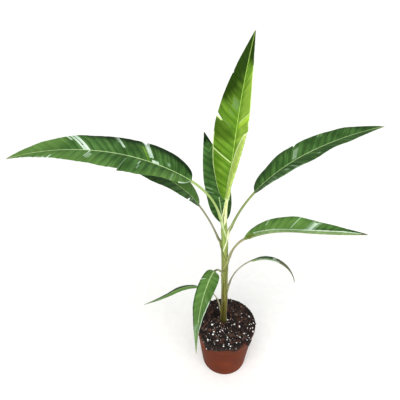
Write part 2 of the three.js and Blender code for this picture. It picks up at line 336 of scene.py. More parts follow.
# %% Pot material
def moulded_polypropylene():
    material, tree, shader = new_material("moulded_polypropylene")
    place = add(tree, "TexCoord", {}, "Object")
    # Clouds in the pigment, about 26 mm wide
    cloud = add(tree, "TexNoise", {"Vector": place, "Scale": cells(26.316), "Detail": 4})
    stops = ((0.3, "56230f"), (0.52, "622912"), (0.72, "703119"))
    colour = add(tree, "ValToRGB", [cloud], stops=stops)
    # Runs of wet peat below the rim, 4 mm wide and 30 mm long
    streaky = add(tree, "Mapping", {"Vector": place, "Scale": cells(3.846, 3.846, 29.41)})
    runs = add(tree, "TexNoise", {"Vector": streaky, "Scale": 1, "Detail": 5})
    height = add(tree, "SeparateXYZ", [place], "Z")
    below_rim = add(tree, "MapRange", [height, 80 * MM, 101 * MM])
    wet = add(tree, "MapRange", [runs, 0.48, 0.66, 0, 0.75])
    wet = add(tree, "Math", [wet, below_rim], operation="MULTIPLY")
    # The grit of the mould and the dust in it, 1.1 mm, coarser than life so that it shows
    grit = add(tree, "TexNoise", {"Vector": place, "Scale": cells(1.1111), "Detail": 3})
    dust = add(tree, "MapRange", [grit, 0.6, 0.72, 0, 0.2])
    for share, coat in ((wet, "2f1a12"), (dust, "a8674a")):
        sockets = {0: share, UNDER: colour, OVER: coat}
        colour = add(tree, "Mix", sockets, MIXED, data_type="RGBA")
    mould = {"Height": grit, "Strength": 0.18, "Distance": 0.4 * MM}
    plug(
        shader,
        {
            "Base Color": colour,
            "Roughness": add(tree, "MapRange", [cloud, 0.3, 0.7, 0.5, 0.62]),
            "IOR": 1.49,
            "Specular IOR Level": 0.05,
            "Normal": add(tree, "Bump", mould),
        },
    )
    return material


dress(pot, moulded_polypropylene())
hand_over(pot, "nursery_pot", "pot", "pot")

# %% [markdown]
# ## The bark mix
# Potting mix is peat, shreds of composted bark and white perlite. It was heaped a
# little over the rim and hangs over the front of it. The body is one closed mound,
# pulled up like the pot, and then given its lumps. The loose bits on it are a few
# small shapes, modelled once each and copied by the hundred.

# %% Mix sizes, as the solid has them
SOIL_TOP = 103.6
EDGE_INSIDE = 103.6
EDGE_ON_RIM = 104.8
SOIL_DOME = 1.2
SOIL_ROUGH = 0.7
BARE_RIM = (-162, 10)  # middle and half width in degrees of the rim that shows
COVER_RADIUS = 53.9
SPILL_RADIUS = 55.8
# Degrees where the mix begins to hang over, hangs, stops hanging and is back inside
SPILLS = [(-140, -131, -61, -56), (-47, -43, -35, -31)]
SPILL_DROP = 1.5
# Its lobes: degrees, width in degrees, and millimetres that they hang down
SPILL_LUMPS = [(-122, 5, 15), (-108, 9, 9), (-88, 10, 2.5), (-70, 7, 4), (-39, 4, 15)]
HOLLOW = (-16.3, 14, 5.5, 9)  # x, y, radius and depth of a dip beside the stem
WAVES = 7  # tilted waves that add up to one size of lumps


def cover_at(turn):
    """1 where the mix lies on the rim, 0 where it stays inside."""
    middle, half = BARE_RIM
    return step(np.abs(turn - middle), half, half + 8)


def spill_at(turn):
    """1 where the mix also hangs over the rim."""
    return sum(step(turn, a, b) * (1 - step(turn, c, d)) for a, b, c, d in SPILLS)


def spill_low(turn):
    hang = sum(drop * bell(turn, at, width) for at, width, drop in SPILL_LUMPS)
    return POT_HEIGHT - SPILL_DROP - hang


def lumps(x, y, seed, size):
    """Soft seeded noise, from tilted waves in three sizes: `size` mm and finer."""
    draw = random.Random(seed)
    total = np.zeros_like(np.asarray(x, float))
    for octave in range(3):
        wave = 2 * math.pi / (size / 2**octave)
        for _ in range(WAVES):
            turn = draw.uniform(0, 2 * math.pi)
            phase = draw.uniform(0, 2 * math.pi)
            pull = wave * draw.uniform(0.7, 1.4)
            along = x * math.cos(turn) + y * math.sin(turn)
            total = total + np.sin(pull * along + phase) / (WAVES**0.5 * 1.7**octave)
    return total


def mound_height(x, y):
    """Height of the mix's top in millimetres."""
    r = np.hypot(x, y)
    angle = np.arctan2(y, x)
    turn = np.degrees(angle)
    over = cover_at(turn)
    rough = np.sin(5 * angle + 0.09 * r) + np.sin(11 * angle - 0.3 * r + 1.3)
    z = SOIL_TOP + SOIL_DOME * np.sin(np.pi * np.minimum(r, 52) / RIM_RADIUS)
    z = z + 0.5 * SOIL_ROUGH * rough * step(r, 9, 14)
    edge = mix(EDGE_INSIDE, EDGE_ON_RIM, over) + 0.3 * rough
    z = mix(z, edge, step(r, 46, 52))
    hx, hy, hr, depth = HOLLOW
    z = z - depth * bell(np.hypot(x - hx, y - hy), 0, hr)
    return z + 0.55 * lumps(x, y, 4, 9) * step(r, 8, 11)


print("the longest lobe hangs to", round(min(spill_low(np.arange(-135, -35.0))), 1), "mm")

# %% Pull up the mound
# Radius and height of the rings up the side. From 96 on, a height is only a mark, which
# tells the next step which ring lies where on the rim.
SIDE_RINGS = [
    (39.6, 0.95), (43.0, 40), (48.0, 78), (51.0, 96), (52.0, 98), (53.0, 100),
    (53.5, 102), (52.5, 104),
]
TOP_MARK = 104
TOP_RINGS = [(51 - 1.25 * k, TOP_MARK) for k in range(34)]
mound = pull_up(176, 36, 0.9, SIDE_RINGS + TOP_RINGS)
print("mound pulled up through", len(SIDE_RINGS + TOP_RINGS), "rings")

# %% Lay its edge over the rim and give it lumps
p = points_of(mound) / MM
r = np.hypot(p[:, 0], p[:, 1])
angle = np.arctan2(p[:, 1], p[:, 0])
turn = np.degrees(angle)
over, spill = cover_at(turn), spill_at(turn)
ragged = lumps(55 * angle, 0 * angle, 9, 13)
low = mix(96, mix(POT_HEIGHT + 0.3, spill_low(turn) + ragged, spill), over)
behind = step(p[:, 1], 0, 20)
edge = mix(COVER_RADIUS - 0.7 * behind, SPILL_RADIUS, spill) + 0.25 * ragged * spill
shoulder = mix(POT_HEIGHT + 1.4, POT_HEIGHT - 0.4, spill)
# Radius and height of each marked ring: inside the pot, and where it covers the rim
places = {
    96: (body_radius(low) - WALL / 2, low),
    98: (mix(50.4, edge - 0.2, over), mix(99, low + 0.3, over)),
    100: (mix(50.5, edge, over), mix(100.5, mix(low, shoulder, 0.5), over)),
    102: (mix(50.3, edge, over), mix(102, shoulder, over)),
}
drawn = p[:, 2].copy()
for mark, (to_r, to_z) in places.items():
    ring = np.abs(drawn - mark) < 0.1
    r[ring], p[ring, 2] = to_r[ring], to_z[ring]
on_top = np.abs(drawn - TOP_MARK) < 0.05
first = on_top & (r > 51.5)
r[first] = mix(49.8, 52, over)[first]
p[:, 0], p[:, 1] = r * np.cos(angle), r * np.sin(angle)
p[on_top, 2] = mound_height(p[on_top, 0], p[on_top, 1])
sculpt(mound, p * MM)
smooth(mound, 70)
print("mix stands up to", round(p[:, 2].max(), 1), "mm")

# %% [markdown]
# ### Peat, bark and perlite
# Damp peat is nearly black and has no shine except on wet grains. Bark is a red brown
# that varies from bit to bit, and perlite is blown volcanic glass, chalk white and
# pitted. One recipe makes the dark materials, with its colours given.


# %% Mix materials
def crumbly(name, dark, middle, light, grain_mm, roughness):
    """Damp organic matter: grain_mm is the size of a crumb."""
    material, tree, shader = new_material(name)
    place = add(tree, "TexCoord", {}, "Object")
    crumbs = add(tree, "TexVoronoi", {"Vector": place, "Scale": cells(grain_mm)})
    tone = add(tree, "SeparateColor", [crumbs.node.outputs["Color"]])
    # Damp and drier patches 6 mm wide
    cloud = add(tree, "TexNoise", {"Vector": place, "Scale": cells(5.882), "Detail": 6})
    both = add(tree, "Math", [tone, cloud], operation="MULTIPLY")
    stops = ((0.08, dark), (0.3, middle), (0.62, light))
    relief = {"Height": crumbs, "Strength": 0.7, "Distance": grain_mm * MM * 0.5}
    plug(
        shader,
        {
            "Base Color": add(tree, "ValToRGB", [both], stops=stops),
            "Roughness": roughness,
            "Specular IOR Level": 0.3,
            "Normal": add(tree, "Bump", relief),
        },
    )
    return material


def expanded_perlite():
    material, tree, shader = new_material("expanded_perlite")
    place = add(tree, "TexCoord", {}, "Object")
    # Burst bubbles 1.1 mm wide, coarser than life so that they show
    pits = add(tree, "TexNoise", {"Vector": place, "Scale": cells(1.1111), "Detail": 4})
    stops = ((0.28, "bdb4aa"), (0.42, "eeebe6"), (0.56, "ffffff"))
    relief = {"Height": pits, "Strength": 0.6, "Distance": 0.6 * MM}
    plug(
        shader,
        {
            "Base Color": add(tree, "ValToRGB", [pits], stops=stops),
            "Roughness": 0.85,
            "Normal": add(tree, "Bump", relief),
        },
    )
    return material


peat = crumbly("damp_peat", "070403", "100907", "20140f", 1.6, 0.85)
bark_dark = crumbly("composted_bark", "0a0504", "180d0a", "311e16", 1.1, 0.75)
bark_red = crumbly("red_bark", "23110c", "46271d", "6f4936", 1.3, 0.75)
bark_grey = crumbly("weathered_bark", "231713", "46362e", "7c6558", 0.9, 0.85)
perlite_white = expanded_perlite()
dress(mound, peat)
hand_over(mound, "bark_mix", "soil", "soil")

# %% [markdown]
# ### The loose bits
# A chip of bark is a box that was split along its grain: longer than wide, with worn
# edges. A perlite grain is a lumpy pebble. They are modelled first, and `scatter` then
# joins turned and stretched copies of them into a single mesh.


# %% Model one chip and two grains
def base_shape(make, seed, rough):
    """The points and faces of a small shape, with every point nudged at random."""
    let_go()
    make()
    shape = bpy.context.object
    bpy.ops.object.mode_set(mode="EDIT")
    bpy.ops.mesh.select_all(action="SELECT")
    bpy.ops.transform.vertex_random(offset=rough, seed=seed)
    bpy.ops.object.mode_set(mode="OBJECT")
    points = points_of(shape)
    faces = [list(f.vertices) for f in shape.data.polygons]
    bpy.data.objects.remove(shape)
    return points, faces


def split_chip():
    bpy.ops.mesh.primitive_cube_add(size=1)
    chip = bpy.context.object
    worn = chip.modifiers.new("worn_edges", "BEVEL")
    worn.width = 0.18
    worn.segments = 1
    settle(chip, worn)


def pebble():
    bpy.ops.mesh.primitive_ico_sphere_add(subdivisions=2, radius=0.5)


CHIP = base_shape(split_chip, 3, 0.09)
GRAINS = [base_shape(pebble, seed, 0.16) for seed in (5, 6)]
print("faces of a chip:", len(CHIP[1]), "and of a grain:", len(GRAINS[0][1]))

# %% [markdown]
# ### Copies by the hundred
# Every copy is stretched, turned and put in its place. A turn is a spin about the
# upright and then a lean to any side, small for bits that lie flat. What joins the
# copies also sets each face's material, so one mesh holds bark of three kinds.


# %% Turn, place and join the copies
def turn_matrix(draw, tilt=180):
    """Any turn about Z, then a tilt of up to that many degrees to any side."""
    spin, way = draw.uniform(0, 2 * math.pi), draw.uniform(0, 2 * math.pi)
    lean = math.radians(draw.uniform(0, tilt))
    c, s = math.cos(spin), math.sin(spin)
    about_z = np.array([[c, -s, 0], [s, c, 0], [0, 0, 1]])
    x, y = math.cos(way), math.sin(way)
    c, s = math.cos(lean), math.sin(lean)
    d = 1 - c
    over = [
        [c + x * x * d, x * y * d, y * s],
        [x * y * d, c + y * y * d, -x * s],
        [-y * s, x * s, c],
    ]
    return np.array(over) @ about_z


def scatter(name, copies, materials, rounded=50):
    """Joins copies of (shape, centre mm, size mm, turn, material number) into one piece."""
    points, faces, paints = [], [], []
    start = 0
    for (shape, shape_faces), centre, size, turned, paint in copies:
        points.append((shape * size) @ turned.T + centre)
        faces.extend([[i + start for i in face] for face in shape_faces])
        paints.extend([paint] * len(shape_faces))
        start += len(shape)
    mesh = bpy.data.meshes.new(name)
    mesh.from_pydata(np.vstack(points) * MM, [], faces)
    piece = bpy.data.objects.new(name, mesh)
    bpy.context.scene.collection.objects.link(piece)
    dress(piece, *materials)
    mesh.polygons.foreach_set("material_index", paints)
    smooth(piece, rounded)
    hand_over(piece, name, "soil")


# %% Places on the mound
STEM_FOOT_XY = (-4.2, 4.3)
FURTHEST_OUT = 53.5  # radius of the ground that loose bits lie on
INSIDE_RIM = 48
SPILL_FACE = 55.4  # radius at which bits lie on the mix that hangs over


def somewhere(draw, clear):
    """A place on the mound, that many millimetres clear of the stem's foot."""
    while True:
        r = FURTHEST_OUT * math.sqrt(draw.random())
        a = draw.uniform(-math.pi, math.pi)
        x, y = r * math.cos(a), r * math.sin(a)
        bare = cover_at(math.degrees(a)) < 0.5 and r > INSIDE_RIM
        if math.hypot(x - STEM_FOOT_XY[0], y - STEM_FOOT_XY[1]) > clear and not bare:
            return x, y


def in_hollow(x, y, reach):
    return math.hypot(x - HOLLOW[0], y - HOLLOW[1]) < reach


def on_mound(x, y, lift):
    """The point that many millimetres above the mound at x and y."""
    return np.array([x, y, float(mound_height(x, y)) + lift])


def on_spill(draw):
    """A point on the mix that hangs over the rim."""
    while True:
        turn = draw.uniform(SPILLS[0][0], SPILLS[-1][-1])
        if draw.random() < float(spill_at(turn)):
            z = draw.uniform(float(spill_low(turn)) - 0.6, 102.5)
            a = math.radians(turn)
            return np.array([SPILL_FACE * math.cos(a), SPILL_FACE * math.sin(a), z])


print("the mound's height at its middle:", round(on_mound(0, 0, 0)[2], 1), "mm")

# %% Scatter bark over the mound and its spill
CHIPS_ON_TOP, CHIPS_ON_SPILL = 1900, 420
LONGEST_CHIP = 5.0
draw = random.Random(21)
bark = []
for _ in range(CHIPS_ON_TOP):
    x, y = somewhere(draw, 7.5)
    near_edge = step(math.hypot(x, y), 44, 51)
    size = min(draw.lognormvariate(0.6, 0.55), LONGEST_CHIP) * (1 - 0.6 * near_edge)
    if in_hollow(x, y, 6.5):
        continue
    shape = size * np.array([draw.uniform(1.1, 2.0), 1, draw.uniform(0.35, 0.7)])
    turned = turn_matrix(draw, 40 - 30 * near_edge)
    kind = draw.choice((0, 0, 0, 1, 2))
    bark.append((CHIP, on_mound(x, y, 0.1 * size), shape, turned, kind))
for _ in range(CHIPS_ON_SPILL):
    centre = on_spill(draw)
    size = draw.uniform(0.7, 2.0)
    shape = np.array([size * 1.4, size, size * 0.6])
    bark.append((CHIP, centre, shape, turn_matrix(draw), draw.choice((0, 0, 1, 2))))
scatter("bark_chips", bark, [bark_dark, bark_red, bark_grey])

# %% Sow the perlite
# x, y and length in millimetres of the grains that stand out
PERLITE = [
    (-23.7, -11.2, 4.7), (-20.5, -30.9, 4.2), (-11.8, -43.2, 4.5), (0.8, -18.4, 3.5),
    (-4.4, -21.0, 2.8), (-8.6, -24.5, 3.2), (12.4, -21.4, 4.6), (5.1, -35.5, 3.5),
    (4.3, -38.6, 3.1), (8.1, -47.2, 3.4), (-1.0, -53.0, 3.1), (25.3, -10.6, 4.3),
    (16.3, -6.1, 3.2), (9.3, 4.3, 3.3), (3.9, 3.1, 3.3), (42.2, 14.1, 3.7),
    (33.4, -23.5, 3.9), (48.4, -10.4, 2.8), (50.2, 0.5, 2.9), (9.7, 28.0, 3.7),
    (-13.6, 13.0, 2.2), (20.8, -43.0, 2.7), (10.9, -51.8, 2.7), (49.2, -17.7, 3.5),
    (-29.2, -42.0, 2.6), (-6.7, -41.7, 2.6), (-19.1, -25.6, 3.9), (28.6, 10.5, 2.6),
    (35.9, 4.6, 2.4), (43.1, -3.5, 2.7), (25.2, -0.9, 2.5), (7.6, -12.4, 3.2),
    (26.6, -31.3, 3.5), (17.4, -13.5, 2.8), (-10.2, -13.1, 2.1), (-9.1, -6.5, 2.5),
    (-16.3, 27.8, 3.0), (9.1, 47.0, 2.3), (28.4, 19.5, 2.4), (-33.7, -20.7, 2.1),
]
EVEN_WIDTH = 0.74  # of a grain, to its length in the table
SMALL_ON_TOP, SMALL_IN_FRONT, SMALL_ON_SPILL = 120, 56, 14


def small_grain(centre, size):
    grains.append((GRAINS[1], centre, np.full(3, size), turn_matrix(draw), 0))


draw = random.Random(33)
grains = []
for x, y, size in PERLITE:
    size = EVEN_WIDTH * size
    shape = size * np.array([1.3, draw.uniform(0.8, 1.05), draw.uniform(0.7, 1.0)])
    grain = draw.choice(GRAINS)
    grains.append((grain, on_mound(x, y, 0.3 * size), shape, turn_matrix(draw, 60), 0))
for _ in range(SMALL_ON_TOP):
    x, y = somewhere(draw, 9.5)
    if y > 10 and (draw.random() < 0.7 or math.hypot(x, y) > 44):
        continue
    if not in_hollow(x, y, 7):
        size = draw.uniform(0.7, 1.7)
        small_grain(on_mound(x, y, 0.35 * size), size)
for _ in range(SMALL_IN_FRONT):
    # Grains gather in front of the stem, where water ran
    x, y = draw.gauss(4, 13), draw.gauss(-25, 8)
    size = draw.uniform(0.8, 1.7)
    if math.hypot(x, y) < 51:
        small_grain(on_mound(x, y, 0.35 * size), size)
for _ in range(SMALL_ON_SPILL):
    small_grain(on_spill(draw), draw.uniform(1.0, 2.2))
print("perlite grains:", len(grains))
scatter("perlite_grains", grains, [perlite_white], 24)

# %% [markdown]
# ### Root fibres
# Coir and fine roots hold the mix together. Some lie over the mound, and a tuft hangs
# over the rim at the front right. A fibre is a thin tube along a wandering line, so one
# short length of tube is modelled and bent to each line. The tube is a cylinder, cut
# into rings by subdividing its upright edges; the stem and the stalks start the same.


# %% Model one fibre
def ringed_tube(sides, cuts):
    """An upright cylinder one unit wide to each side and one tall, cut into rings."""
    let_go()
    bpy.ops.mesh.primitive_cylinder_add(
        vertices=sides, radius=1, depth=1, location=(0, 0, 0)
    )
    tube = bpy.context.object
    z = points_of(tube)[:, 2]
    upright = [abs(z[e.vertices[0]] - z[e.vertices[1]]) > 0.5 for e in tube.data.edges]
    pick(tube, "edges", upright)
    edit(bpy.ops.mesh.subdivide, number_cuts=cuts)
    return tube


FIBRE_CUTS = 11
FIBRE = base_shape(lambda: ringed_tube(5, FIBRE_CUTS), 1, 0)
print("points of a fibre:", len(FIBRE[0]))


# %% Bend copies of it to wandering lines
def along_line(t, values):
    """Values given evenly along a line, read at shares t of its length."""
    return np.interp(t, np.linspace(0, 1, len(values)), values)


def bent_fibre(line, radius):
    """The straight fibre set along a line of points, thinner towards its end."""
    points, faces = FIBRE
    t = points[:, 2] + 0.5
    centre = np.stack([along_line(t, axis) for axis in line.T], -1)
    ahead = np.stack([along_line(t, np.gradient(axis)) for axis in line.T], -1)
    ahead /= np.linalg.norm(ahead, axis=1)[:, None]
    side = np.cross(ahead, np.array([0.3, 0.5, 0.8]))
    side /= np.linalg.norm(side, axis=1)[:, None]
    other = np.cross(ahead, side)
    thin = radius * (1 - 0.6 * t)[:, None]
    return centre + (points[:, :1] * side + points[:, 1:2] * other) * thin, faces


FIBRES_ON_TOP, FIBRES_ON_SPILL = 46, 30
draw = random.Random(47)
fibres = []
for _ in range(FIBRES_ON_TOP):
    x, y = somewhere(draw, 9)
    way = draw.uniform(0, 2 * math.pi)
    line = []
    for _ in range(FIBRE_CUTS + 1):
        if math.hypot(x, y) > 51:
            x, y, way = x * 0.98, y * 0.98, way + 1.2
        line.append(on_mound(x, y, 0.5 + 0.5 * draw.random()))
        way += draw.uniform(-0.5, 0.5)
        x, y = x + 1.5 * math.cos(way), y + 1.5 * math.sin(way)
    fibres.append((bent_fibre(np.array(line), draw.uniform(0.16, 0.3)), 0))
for _ in range(FIBRES_ON_SPILL):
    tuft = draw.random() < 0.6
    turn = draw.gauss(-66, 6) if tuft else draw.uniform(-135, -35)
    drop = draw.uniform(5, 13) if tuft else draw.uniform(2, 6)
    top = float(spill_low(turn)) + 1
    line = []
    for k in range(FIBRE_CUTS + 1):
        z = top - drop * k / FIBRE_CUTS
        turn += draw.uniform(-1.3, 1.3)
        wall = max(float(body_radius(z)) + BAND_STEP, RIM_RADIUS - 0.4)
        r = wall + 0.5 + 0.9 * (1 - k / FIBRE_CUTS)
        a = math.radians(turn)
        line.append([r * math.cos(a), r * math.sin(a), z])
    thick = draw.uniform(0.3, 0.55) if tuft else draw.uniform(0.16, 0.32)
    fibres.append((bent_fibre(np.array(line), thick), int(tuft)))
copies = [(fibre, 0, 1, np.eye(3), paint) for fibre, paint in fibres]
scatter("root_fibres", copies, [bark_red, bark_dark])

# %% [markdown]
# ## The pseudostem
# A banana's stem isn't wood: it is the rolled bases of its leaves, one inside the
# next. So the stem is a slim tapering tube with fine ribs along it, and each petiole
# starts as a collar that wraps it. The tube is a cylinder, cut into rings by
# subdividing its long edges, and each ring is then set at the stem's true lean and
# radius.

# %% Stem sizes, as the solid has them
STEM_Y = 4.3
STEM_FOOT = 103.4
STEM_TOP = 341.0
STEM_LEAN = [
    (103.4, -4.2), (156, -4.4), (206, -5.6), (252, -6.8), (294, -8.6), (323, -9.6),
    (341, -9.3),
]
STEM_RADII = [
    (103.4, 7.2), (112, 6.4), (156, 6.1), (285, 5.8), (312, 4.8), (328, 4), (341, 3.2),
]
COLLAR = 0.45  # millimetres that a wrapped sheath adds


def along(table, place):
    return np.interp(place, [a for a, _ in table], [b for _, b in table])


def stem_x(z):
    return along(STEM_LEAN, z)


def stem_r(z):
    return along(STEM_RADII, z)


def slim(z):
    """The tube inside its collars: it is widest at the foot."""
    return stem_r(z) * mix(0.9, 0.97, step(z, 104, 150)) - COLLAR * step(z, 104, 120)


def stem_relief(z, azimuth):
    """Fibre ribs and slow swellings of the outer sheath."""
    ribs = 0.10 * np.sin(19 * azimuth + 0.01 * z) + 0.07 * np.sin(31 * azimuth - 0.02 * z)
    swell = 0.15 * np.sin(z / 17.0 + 2 * azimuth) + 0.12 * np.sin(z / 7.3 + azimuth)
    return ribs * (1 - 0.8 * step(z, 300, 325)) + 0.6 * swell


def tan_band(azimuth):
    """1 on the stem's left and right flanks, as the camera sees them, and 0 in front and
    behind.
    """
    return step(np.abs(np.cos(azimuth)), 0.72, 0.95)


print("stem width half way up:", round(2 * stem_r((STEM_FOOT + STEM_TOP) / 2), 1), "mm")

# %% Make the stem
STEM_SIDES, STEM_CUTS = 72, 159
stem = ringed_tube(STEM_SIDES, STEM_CUTS)
p = points_of(stem)
z = mix(STEM_FOOT - 2.5, STEM_TOP, p[:, 2] + 0.5)
angle = np.arctan2(p[:, 1], p[:, 0])
foot = 0.5 * bell(z, STEM_FOOT, 5) * np.sin(5 * angle + 1)
inner = slim(z) - 0.9 * step(z, 318, 338)
on_wall = np.hypot(p[:, 0], p[:, 1]) > 0.5
radius = (inner + stem_relief(z, angle) + foot) * on_wall
x, y = stem_x(z) + radius * np.cos(angle), STEM_Y + radius * np.sin(angle)
sculpt(stem, np.stack([x, y, z], -1) * MM)
smooth(stem, 60)
print("the stem's widest radius is", round(radius.max(), 1), "mm")

# %% [markdown]
# ### Living stem skin
# The sheaths are smooth, faintly waxy plant skin with parallel fibres 0.4 mm apart. Old
# sheaths low on the stem have gone olive and brown and the young ones above are yellow
# green. Every point remembers where it would be on a straight stem, and the fibres are
# drawn there, so they follow every bend.

# %% Notes that a mesh keeps for its material
def mark_points(piece, key, values):
    """Keeps one number, or one vector, per point for a material to read."""
    values = np.asarray(values, float)
    kind, field = ("FLOAT", "value") if values.ndim == 1 else ("FLOAT_VECTOR", "vector")
    layer = piece.data.attributes.new(key, kind, "POINT")
    layer.data.foreach_set(field, values.ravel())


def grain_of(azimuth, z):
    """Where a point of the sheaths would be on a straight stem of even width."""
    return np.stack([6 * np.cos(azimuth), 6 * np.sin(azimuth), z + 0 * azimuth], -1) * MM


# %% Skin of stems and stalks
OLIVE = ("423b0f", "7a772d")
SPRING = ("76913c", "a9bd6c")
EARTHY, TAN, FRESH_TAN, RUST = "2c2408", "a0987a", "a5b36c", "43371a"
# Millimetres to each side and along: one fibre, and a band of six that share a tone
FIBRE_CELL = (0.38462, 0.38462, 22.22)
BAND_CELL = (2.381, 2.381, 62.5)


def fibrous_skin(name, stalk, flank, lip):
    """Two tints of a free stalk, the tint of its flank, and its lips. The sheaths are all
    alike.

    The mesh says where: "stalk" is 1 off the stem, "flank" is 1 on the sheaths' left and
    right flanks and on the stalk's round side, and "lip" is 1 along a sheath's thin margin.
    """
    material, tree, shader = new_material(name)
    place = add(tree, "TexCoord", {}, "Object")
    grain = add(tree, "Attribute", {}, "Vector", attribute_name="grain")
    stretched = add(tree, "Mapping", {"Vector": grain, "Scale": cells(*FIBRE_CELL)})
    fibre = add(tree, "TexNoise", {"Vector": stretched, "Scale": 1, "Detail": 3})
    broad = add(tree, "Mapping", {"Vector": grain, "Scale": cells(*BAND_CELL)})
    bands = add(tree, "TexNoise", {"Vector": broad, "Scale": 1, "Detail": 4})
    tone = add(tree, "MapRange", [bands, 0.36, 0.64])
    # The sheaths turn from olive to spring green in two steps, and are earthy at the foot
    height = add(tree, "SeparateXYZ", [place], "Z")
    first = add(tree, "MapRange", [height, 165 * MM, 215 * MM, 0, 0.35])
    second = add(tree, "MapRange", [height, 250 * MM, 292 * MM, 0, 0.65])
    level = add(tree, "Math", [first, second], operation="ADD")
    foot = add(tree, "MapRange", [height, 165 * MM, 108 * MM, 0, 0.75])
    off_stem, on_flank, on_lip = (
        add(tree, "Attribute", {}, "Fac", attribute_name=key)
        for key in ("stalk", "flank", "lip")
    )
    # Rusty spots 3 mm wide, fewer higher up
    spots = add(tree, "TexNoise", {"Vector": place, "Scale": cells(3.3333), "Detail": 5})
    spots = add(tree, "MapRange", [spots, 0.54, 0.68])
    older = add(tree, "MapRange", [level, 0, 1, 0.7, 0.1])
    aged = add(tree, "Math", [spots, older], operation="MULTIPLY")

    low, high, free = (
        add(tree, "Mix", {0: tone, UNDER: dark, OVER: light}, MIXED, data_type="RGBA")
        for dark, light in (OLIVE, SPRING, stalk)
    )
    # The flank tint: a paler tan on the sheaths' left and right flanks, as the camera sees
    # them, and the stalk's own flank tint on its round side
    sockets = {0: level, UNDER: TAN, OVER: FRESH_TAN}
    dry = add(tree, "Mix", sockets, MIXED, data_type="RGBA")
    sockets = {0: off_stem, UNDER: dry, OVER: flank}
    dry = add(tree, "Mix", sockets, MIXED, data_type="RGBA")
    colour = low
    for share, coat in (
        (level, high),
        (foot, EARTHY),
        (off_stem, free),
        (add(tree, "MapRange", [on_flank, 0, 1, 0, 0.6]), dry),
        (add(tree, "MapRange", [on_lip, 0, 1, 0, 0.85]), lip),
        (aged, RUST),
    ):
        sockets = {0: share, UNDER: colour, OVER: coat}
        colour = add(tree, "Mix", sockets, MIXED, data_type="RGBA")
    relief = {"Height": fibre, "Strength": 0.35, "Distance": 0.3 * MM}
    plug(
        shader,
        {
            "Base Color": colour,
            "Roughness": add(tree, "MapRange", [fibre, 0.3, 0.7, 0.39, 0.55]),
            "IOR": 1.42,
            "Specular IOR Level": 0.25,
            "Normal": add(tree, "Bump", relief),
        },
    )
    return material


SHEATH_SKIN = fibrous_skin("leaf_sheath_skin", ("6b7746", "93a168"), TAN, "8f9156")
dress(stem, SHEATH_SKIN)
mark_points(stem, "grain", grain_of(angle, z))
for key, values in (("stalk", 0 * z), ("flank", tan_band(angle)), ("lip", 0 * z)):
    mark_points(stem, key, values)
hand_over(stem, "pseudostem_core", "pseudostem", "pseudostem")

# %% [markdown]
# ## The leaves
# Every leaf follows one rule, the same as its solid's. A spine starts at the stem and
# is turned by four elevations (`rise`) and four headings: at the stem, at the end of the
# stalk, half way along the blade and at the tip, with a `roll` at the last three. The
# numbers are what a grower could measure, in millimetres and degrees, and a place is a
# share of the blade's length. A side is 1 for the left half and -1 for the right.
# - `height` is where the stalk leaves the stem; `petiole` and `blade` are lengths
# - `stalk` is the petiole's radius at its foot and its end, and `plump` how much stouter
#   it is than that; `margin` is how pale the lips of its sheath are
# - `width` is the half width to the left and right; `peak` moves the widest place, and
#   `blunt` fills out the base and the tip the lower it is
# - `fold_left` and `fold_right` lift each half at its base, middle and tip, and `droop`
#   lets it down again towards the margin
# - `edges` are small bulges and hollows of the margin: side, place, width, millimetres
# - `tears` run in along a vein: side, place, inner end, half opening (below 0 where the
#   lips overlap), and how far the lamina before and after the tear hangs down, in mm
# - `curl` rolls a margin in over the face: side, places, and how much it covers there
# - `rib` is where the pale midrib shows, `pleats` how deep the pleats are to each side,
#   and `slant` how far the veins of each side run forward

